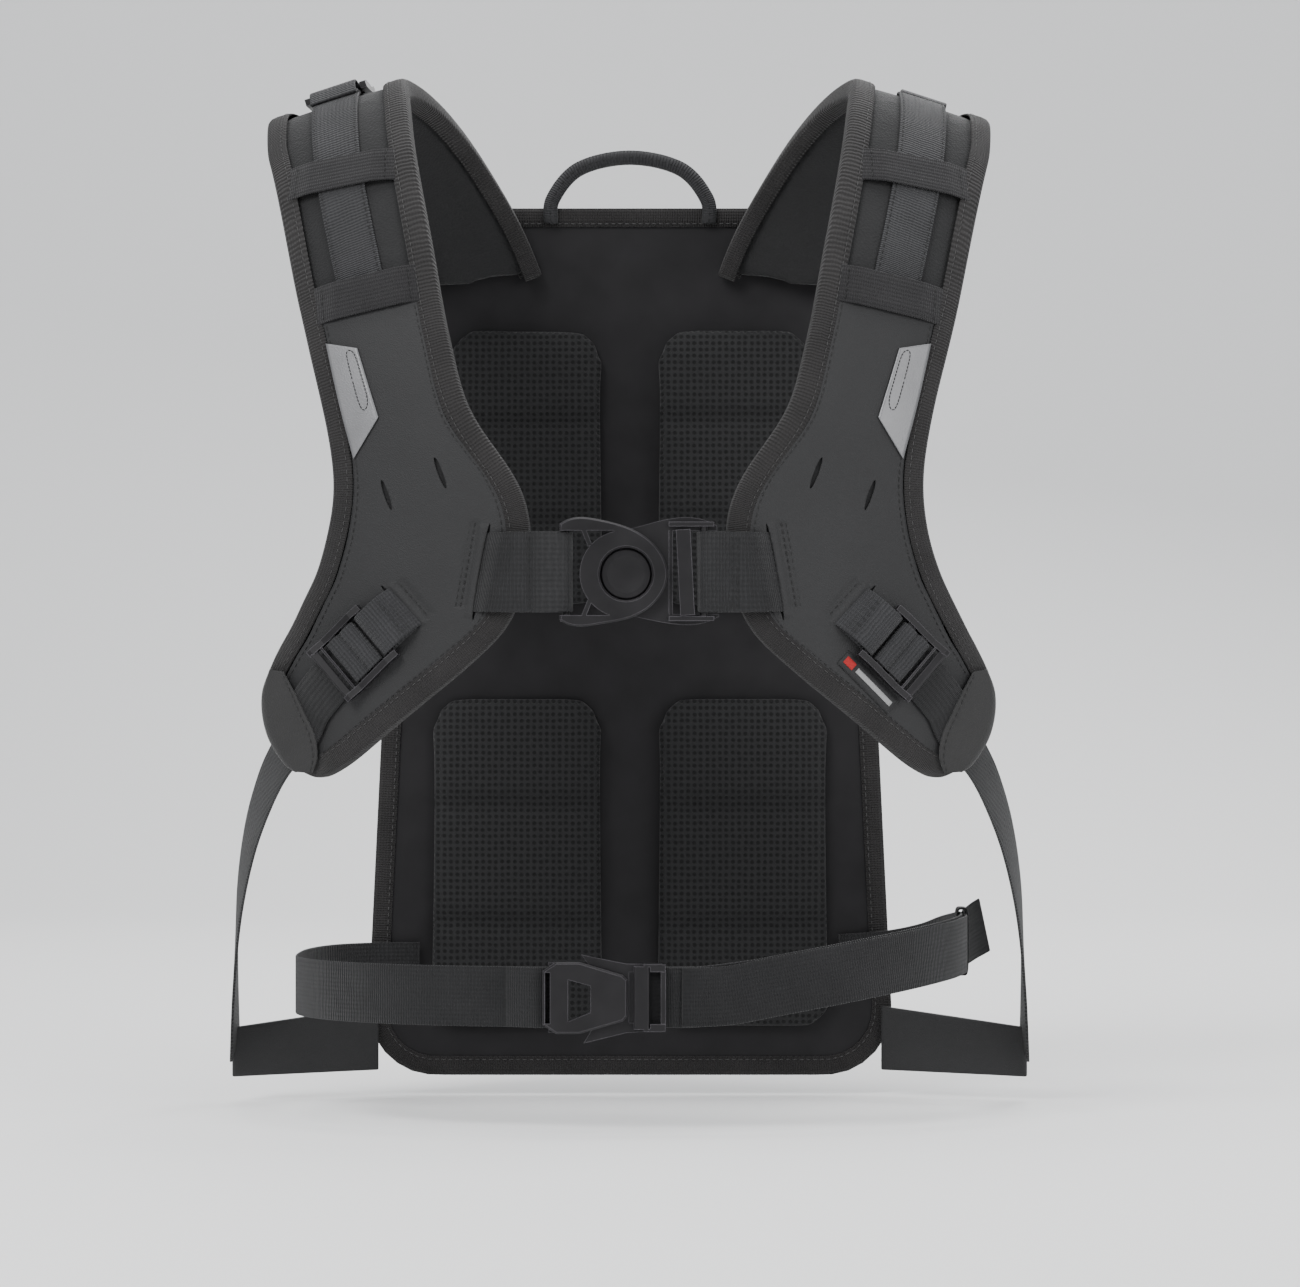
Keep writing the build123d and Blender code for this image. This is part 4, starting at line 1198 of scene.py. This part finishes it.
def build_back_binding():
    """The tape round the edge of the back panel."""
    edge = panel_edge(0.0)
    edge.append(edge[0])
    count = len(edge)
    stations = []
    for i, p in enumerate(edge):
        along = (edge[(i + 1) % (count - 1)] - edge[(i - 1) % (count - 1)]).normalized()
        outward = Vector((along.y, 0, -along.x))
        stations.append((Vector((p.x, 0.11375, p.y)), outward, Vector((0, 1, 0))))
    line = [(-9, 2.15), (-5, 2.3), (-1, 2.2), (0.5, 1.6), (0.9, 0), (0.5, -1.9), (-1, -2.6), (-5, -2.7),
            (-9, -2.5)]
    outline = band_outline([(a * MM, b * MM) for a, b in line], 0.0008)
    binding = sweep("panel_binding", stations, outline, MATERIALS["tape"])
    claim(binding, "harness", "edge_tape", "back_binding")
    rows = [[(p - out * 0.0072 + up * 0.0028, up) for p, out, up in stations],
            [(p - out * 0.0072 - up * 0.0032, -up) for p, out, up in stations]]
    claim(stitches("panel_binding_stitches", rows, MATERIALS["edge_thread"]), "harness", "edge_tape")


def build_back_pads():
    """The four mesh-covered pads against the wearer's back, each with two sewn channels."""
    for name in (sided(f"back_pad_{row}", side) for row in ("upper", "lower") for side in SIDES):
        low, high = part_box(name)
        bm = bmesh.new()
        bmesh.ops.create_cube(bm, size=1.0)
        size, middle = high - low, (high + low) / 2
        for vert in bm.verts:
            taper = 1.0 if vert.co.z < 0 else 0.93
            x = middle.x + vert.co.x * (size.x - 0.006) * taper
            y = middle.y + 0.0008 + vert.co.y * (size.y - 0.004)
            z = middle.z + vert.co.z * (size.z - 0.006)
            vert.co = (x, y, z)
        upright = [e for e in bm.edges if abs((e.verts[0].co - e.verts[1].co).normalized().y) > 0.9]
        bmesh.ops.bevel(bm, geom=upright, offset=0.018, segments=6, profile=0.5, affect="EDGES", material=-1)
        rim = [e for e in bm.edges if all(v.co.y < middle.y for v in e.verts)]
        bmesh.ops.bevel(bm, geom=rim, offset=0.0035, segments=3, profile=0.5, affect="EDGES", material=-1)
        pad = finish_mesh(name + "_mesh", bm, MATERIALS["mesh"])
        cushion(pad, 0.0018)
        press_channels(pad, middle, size)
        claim(pad, "harness", "back_mesh", name)


def press_channels(pad, middle, size):
    """Two level sewn channels across a back pad."""
    for vert in pad.data.vertices:
        if vert.co.y > middle.y:
            continue
        for share in (-0.17, 0.17):
            away = abs(vert.co.z - middle.z - size.z * share)
            inside = max(0.0, 1 - (abs(vert.co.x - middle.x) / (size.x * 0.46)) ** 8)
            vert.co.y += 0.0034 * math.exp(-(away / 0.0045) ** 2) * inside


def build_handle():
    """The rolled grab handle on the panel's top edge."""
    arch = [(-42, -7), (-41, 6), (-27, 22), (0, 28), (27, 22), (41, 6), (42, -7)]
    y = 0.110
    samples = curve([Vector((x * MM, y, PLATE["top"] + z * MM)) for x, z in arch], 90)
    stations = []
    for i, point in enumerate(samples):
        along = heading(samples, i)
        stations.append((point, Vector((0, 1, 0)), along.cross(Vector((0, 1, 0))).normalized()))
    turns = [2 * math.pi * k / 18 for k in range(18)]
    ring = [(0.0039 * math.cos(turn), 0.0039 * math.sin(turn)) for turn in turns]
    handle = sweep("grab_handle", stations, ring, MATERIALS["webbing"])
    claim(handle, "harness", "webbing", "haul_loop")
    seam = [(p - Vector((0, 0.0040, 0)), Vector((0, -1, 0))) for p, _, _ in stations]
    claim(stitches("handle_stitches", [seam], MATERIALS["thread"]), "harness", "webbing")


def build_label():
    """A plain woven label beside the left ladder lock: a short red dash and a pale stripe."""
    spot = chest(114.9, 155.0)
    origin, up = on_trunk(*spot, FOAM + 0.0021), trunk_normal(*spot)
    along = on_trunk(*chest(127.2, 141.9), FOAM + 0.0021) - origin
    along = (along - up * along.dot(up)).normalized()
    across = up.cross(along)
    pieces = []
    for name, start, length, half, material, lift in (("label_ground", -18, 36, 4.4, "panel", 0.0),
                                                      ("label_dash", -16.5, 6, 2.0, "accent", 0.35),
                                                      ("label_stripe", -8.5, 24.5, 1.3, "label", 0.35)):
        def place(u, v, start=start, length=length, half=half, lift=lift):
            reach = start + length * v
            sag = 0.25 * reach ** 2 / 160
            return origin + (along * reach + across * (2 * u - 1) * half + up * (lift - sag)) * MM

        bm = mapped_grid(4, 16, place, (2 * half * MM, length * MM))
        thicken(bm, 0.0004)
        pieces.append(finish_mesh(name, bm, MATERIALS[material]))
    label = join("woven_label", pieces)
    claim(label, "harness", "label", "strap_label")


def finish_hardware():
    """Moulded and metal nodes keep their CAD shape and take their own materials."""
    plastic = ["chest_ring", "chest_base", "chest_button", "belt_hook", "belt_receiver"]
    plastic += [sided(name, side) for name in ("adjuster_lock", "lifter_lock") for side in SIDES]
    steel = ["ring_magnet", "base_magnet", "hook_magnet", "receiver_magnet"]
    for names, material in ((plastic, "plastic"), (steel, "steel"), (["back_plate"], "board")):
        for name in names:
            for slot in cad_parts[name].material_slots:
                slot.material = MATERIALS[material]


def build_button_spring():
    """The coil behind the chest button."""
    bm = bmesh.new()
    bm.from_mesh(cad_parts["button_spring"].data)
    coil = finish_mesh("button_coil", bm, MATERIALS["steel"])
    claim(coil, "chest_left", "spring_steel", "button_spring")
    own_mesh(coil)


# ---- stage
# Each soft light: its name, place, size and share of the key light's power.
LIGHTS = (("key", (-1.5, -2.3, 2.1), 1.6, 1.0), ("fill", (1.9, -2.2, 1.0), 1.8, 0.5),
          ("top", (0.1, 0.2, 2.4), 1.8, 0.5), ("rear", (0.6, 2.2, 1.6), 1.5, 0.35))
BEND_START, BEND_RADIUS = 2.0, 1.5


def place_in_scene(name, data, spot, turn):
    """Puts a lamp or a camera into the scene."""
    obj = bpy.data.objects.new(name, data)
    obj.location = spot
    obj.rotation_euler = turn
    bpy.context.scene.collection.objects.link(obj)
    return obj


def build_stage(settings):
    """A pale floor that turns up into a backdrop, soft lights and the camera."""
    low = CAD_BOX[0][2] - 0.012
    profile = [(-4.0, 0.0)]
    for degrees in range(0, 91, 3):
        turn = math.radians(degrees)
        back, rise = BEND_RADIUS * math.sin(turn), BEND_RADIUS * (1 - math.cos(turn))
        profile.append((BEND_START + back, rise))
    profile.append((BEND_START + BEND_RADIUS, 5.0))
    last = len(profile) - 1

    def place(u, v):
        y, z = profile[round(v * last)]
        return Vector(((u - 0.5) * 14, y, low + z))

    bm = mapped_grid(2, last, place, (14, 12))
    thicken(bm, 0.002)
    finish_mesh("studio_floor", bm, Recipe("studio_paper", settings.backdrop, 0.9).material)
    for name, spot, size, share in LIGHTS:
        lamp = bpy.data.lights.new(name, "AREA")
        lamp.size = size
        lamp.energy = settings.key_power * share
        towards = Vector((0, 0, 0.2)) - Vector(spot)
        place_in_scene(name, lamp, spot, towards.to_track_quat("-Z", "Y").to_euler())
    world = bpy.data.worlds.new("studio")
    world.use_nodes = True
    world.node_tree.nodes["Background"].inputs[0].default_value = (0.9, 0.92, 0.95, 1)
    world.node_tree.nodes["Background"].inputs[1].default_value = settings.world_light
    bpy.context.scene.world = world
    camera = bpy.data.cameras.new("camera")
    camera.lens = settings.lens
    camera.sensor_width = 36
    camera.clip_end = 50
    bpy.context.scene.camera = place_in_scene("camera", camera, settings.eye, (math.pi / 2, 0, 0))


# ---- the add-on
def colour(name, description, default):
    return bpy.props.FloatVectorProperty(name=name, description=description, default=default, size=3,
                                         subtype="COLOR", min=0, max=1)


class HarnessColours(bpy.types.PropertyGroup):
    """Base colours of the harness, linear."""
    panel: colour("Face panel", "Laminated fabric of the face panels", (0.0135, 0.0135, 0.0141))
    lining: colour("Lining", "Knitted lining of the yokes and back pads", (0.0115, 0.0115, 0.012))
    tape: colour("Binding", "Tape folded round the edges", (0.0165, 0.0155, 0.0155))
    webbing: colour("Webbing", "Shoulder and side webbing", (0.0205, 0.0205, 0.022))
    band: colour("Bands", "Keeper bands across the yokes", (0.0135, 0.013, 0.0138))
    # The chest colour also dresses the side straps, where it is painted shade darker than the shoulder
    # webbing
    chest: colour("Chest strap", "Chest webbing", (0.0115, 0.0115, 0.0122))
    belt: colour("Waist belt", "Waist webbing", (0.0095, 0.0095, 0.0102))
    elastic: colour("Keeper", "Elastic keeper on the waist belt", (0.004, 0.004, 0.0045))
    plastic: colour("Buckles", "Moulded buckles and ladder locks", (0.0048, 0.0045, 0.005))
    reflective: colour("Reflective", "Reflective patches", (0.15, 0.15, 0.155))
    light_thread: colour("Edge thread", "Sewing thread along the bindings", (0.045, 0.044, 0.044))
    thread: colour("Thread", "Sewing thread", (0.0045, 0.0045, 0.0045))
    cap: colour("Tip corners", "Corner pieces on the yoke tips", (0.0185, 0.0182, 0.0182))
    label: colour("Label stripe", "Pale stripe of the woven label", (0.24, 0.24, 0.24))
    accent: colour("Label dash", "Red dash of the woven label", (0.3, 0.012, 0.012))


class HarnessStage(bpy.types.PropertyGroup):
    """The camera and the lights."""
    lens: bpy.props.FloatProperty(name="Lens", description="Focal length of the camera", default=147.0,
                                  subtype="DISTANCE_CAMERA", min=1)
    eye: bpy.props.FloatVectorProperty(name="Camera place", description="Where the camera stands",
                                       default=(0.0107, -2.720, 0.174), size=3, subtype="TRANSLATION",
                                       unit="LENGTH")
    key_power: bpy.props.FloatProperty(name="Key light", description="Power of the key light", default=90.0,
                                       subtype="POWER", min=0)
    world_light: bpy.props.FloatProperty(name="World light", description="Strength of the even light",
                                         default=0.75, subtype="FACTOR", min=0)
    backdrop: colour("Backdrop", "Paper of the floor and backdrop", (0.80, 0.80, 0.80))


class HARNESS_OT_materials(bpy.types.Operator):
    """Make the materials"""
    bl_idname = "harness.materials"
    bl_label = "Materials"

    def execute(self, context):
        make_materials(context.scene.harness_colours)
        return {"FINISHED"}


class HARNESS_OT_yokes(bpy.types.Operator):
    """Build the padded shoulder yokes with their panels, binding and patches"""
    bl_idname = "harness.yokes"
    bl_label = "Shoulder yokes"

    def execute(self, context):
        for side in SIDES:
            for build in (build_pad, build_panel, build_binding, build_face_stitches, build_reflector,
                          build_tip_cap):
                build(side)
        build_label()
        return {"FINISHED"}


class HARNESS_OT_straps(bpy.types.Operator):
    """Build the webbing on the yokes and flanks"""
    bl_idname = "harness.straps"
    bl_label = "Shoulder and side straps"

    def execute(self, context):
        for side in SIDES:
            for build in (build_shoulder_web, build_bands, build_adjuster, build_side_strap, build_wing,
                          build_lifter):
                build(side)
        return {"FINISHED"}


class HARNESS_OT_chest(bpy.types.Operator):
    """Build the chest strap"""
    bl_idname = "harness.chest"
    bl_label = "Chest strap"

    def execute(self, context):
        for side in SIDES:
            build_chest_strap(side)
        return {"FINISHED"}


class HARNESS_OT_belt(bpy.types.Operator):
    """Build the waist belt, its spare end and the keeper"""
    bl_idname = "harness.belt"
    bl_label = "Waist belt"

    def execute(self, context):
        for side in SIDES:
            build_belt(side)
        build_belt_tail()
        build_keeper()
        return {"FINISHED"}


class HARNESS_OT_back(bpy.types.Operator):
    """Build the back panel's cover, binding, pads and handle"""
    bl_idname = "harness.back"
    bl_label = "Back panel"

    def execute(self, context):
        for build in (build_cover, build_back_binding, build_back_pads, build_handle):
            build()
        return {"FINISHED"}


class HARNESS_OT_hardware(bpy.types.Operator):
    """Give the moulded and metal parts their materials"""
    bl_idname = "harness.hardware"
    bl_label = "Hardware"

    def execute(self, context):
        finish_hardware()
        build_button_spring()
        return {"FINISHED"}


class HARNESS_OT_stage(bpy.types.Operator):
    """Set up the floor, the lights and the camera"""
    bl_idname = "harness.stage"
    bl_label = "Stage"

    def execute(self, context):
        build_stage(context.scene.harness_stage)
        return {"FINISHED"}


STEPS = (HARNESS_OT_materials, HARNESS_OT_yokes, HARNESS_OT_straps, HARNESS_OT_chest, HARNESS_OT_belt,
         HARNESS_OT_back, HARNESS_OT_hardware, HARNESS_OT_stage)


class HARNESS_PT_panel(bpy.types.Panel):
    """Lists the steps that build the harness"""
    bl_label = "Harness"
    bl_idname = "HARNESS_PT_panel"
    bl_space_type = "VIEW_3D"
    bl_region_type = "UI"
    bl_category = "Harness"

    def draw(self, context):
        for step in STEPS:
            self.layout.operator(step.bl_idname)
        for group in (context.scene.harness_colours, context.scene.harness_stage):
            for key in group.__annotations__:
                self.layout.prop(group, key)


CLASSES = (HarnessColours, HarnessStage, *STEPS, HARNESS_PT_panel)


def register():
    for cls in CLASSES:
        bpy.utils.register_class(cls)
    bpy.types.Scene.harness_colours = bpy.props.PointerProperty(type=HarnessColours)
    bpy.types.Scene.harness_stage = bpy.props.PointerProperty(type=HarnessStage)


def unregister():
    del bpy.types.Scene.harness_stage
    del bpy.types.Scene.harness_colours
    for cls in reversed(CLASSES):
        bpy.utils.unregister_class(cls)


def main():
    register()
    bpy.ops.harness.materials()
    bpy.ops.harness.yokes()
    bpy.ops.harness.straps()
    bpy.ops.harness.chest()
    bpy.ops.harness.belt()
    bpy.ops.harness.back()
    bpy.ops.harness.hardware()
    bpy.ops.harness.stage()


if __name__ == "__main__":
    main()
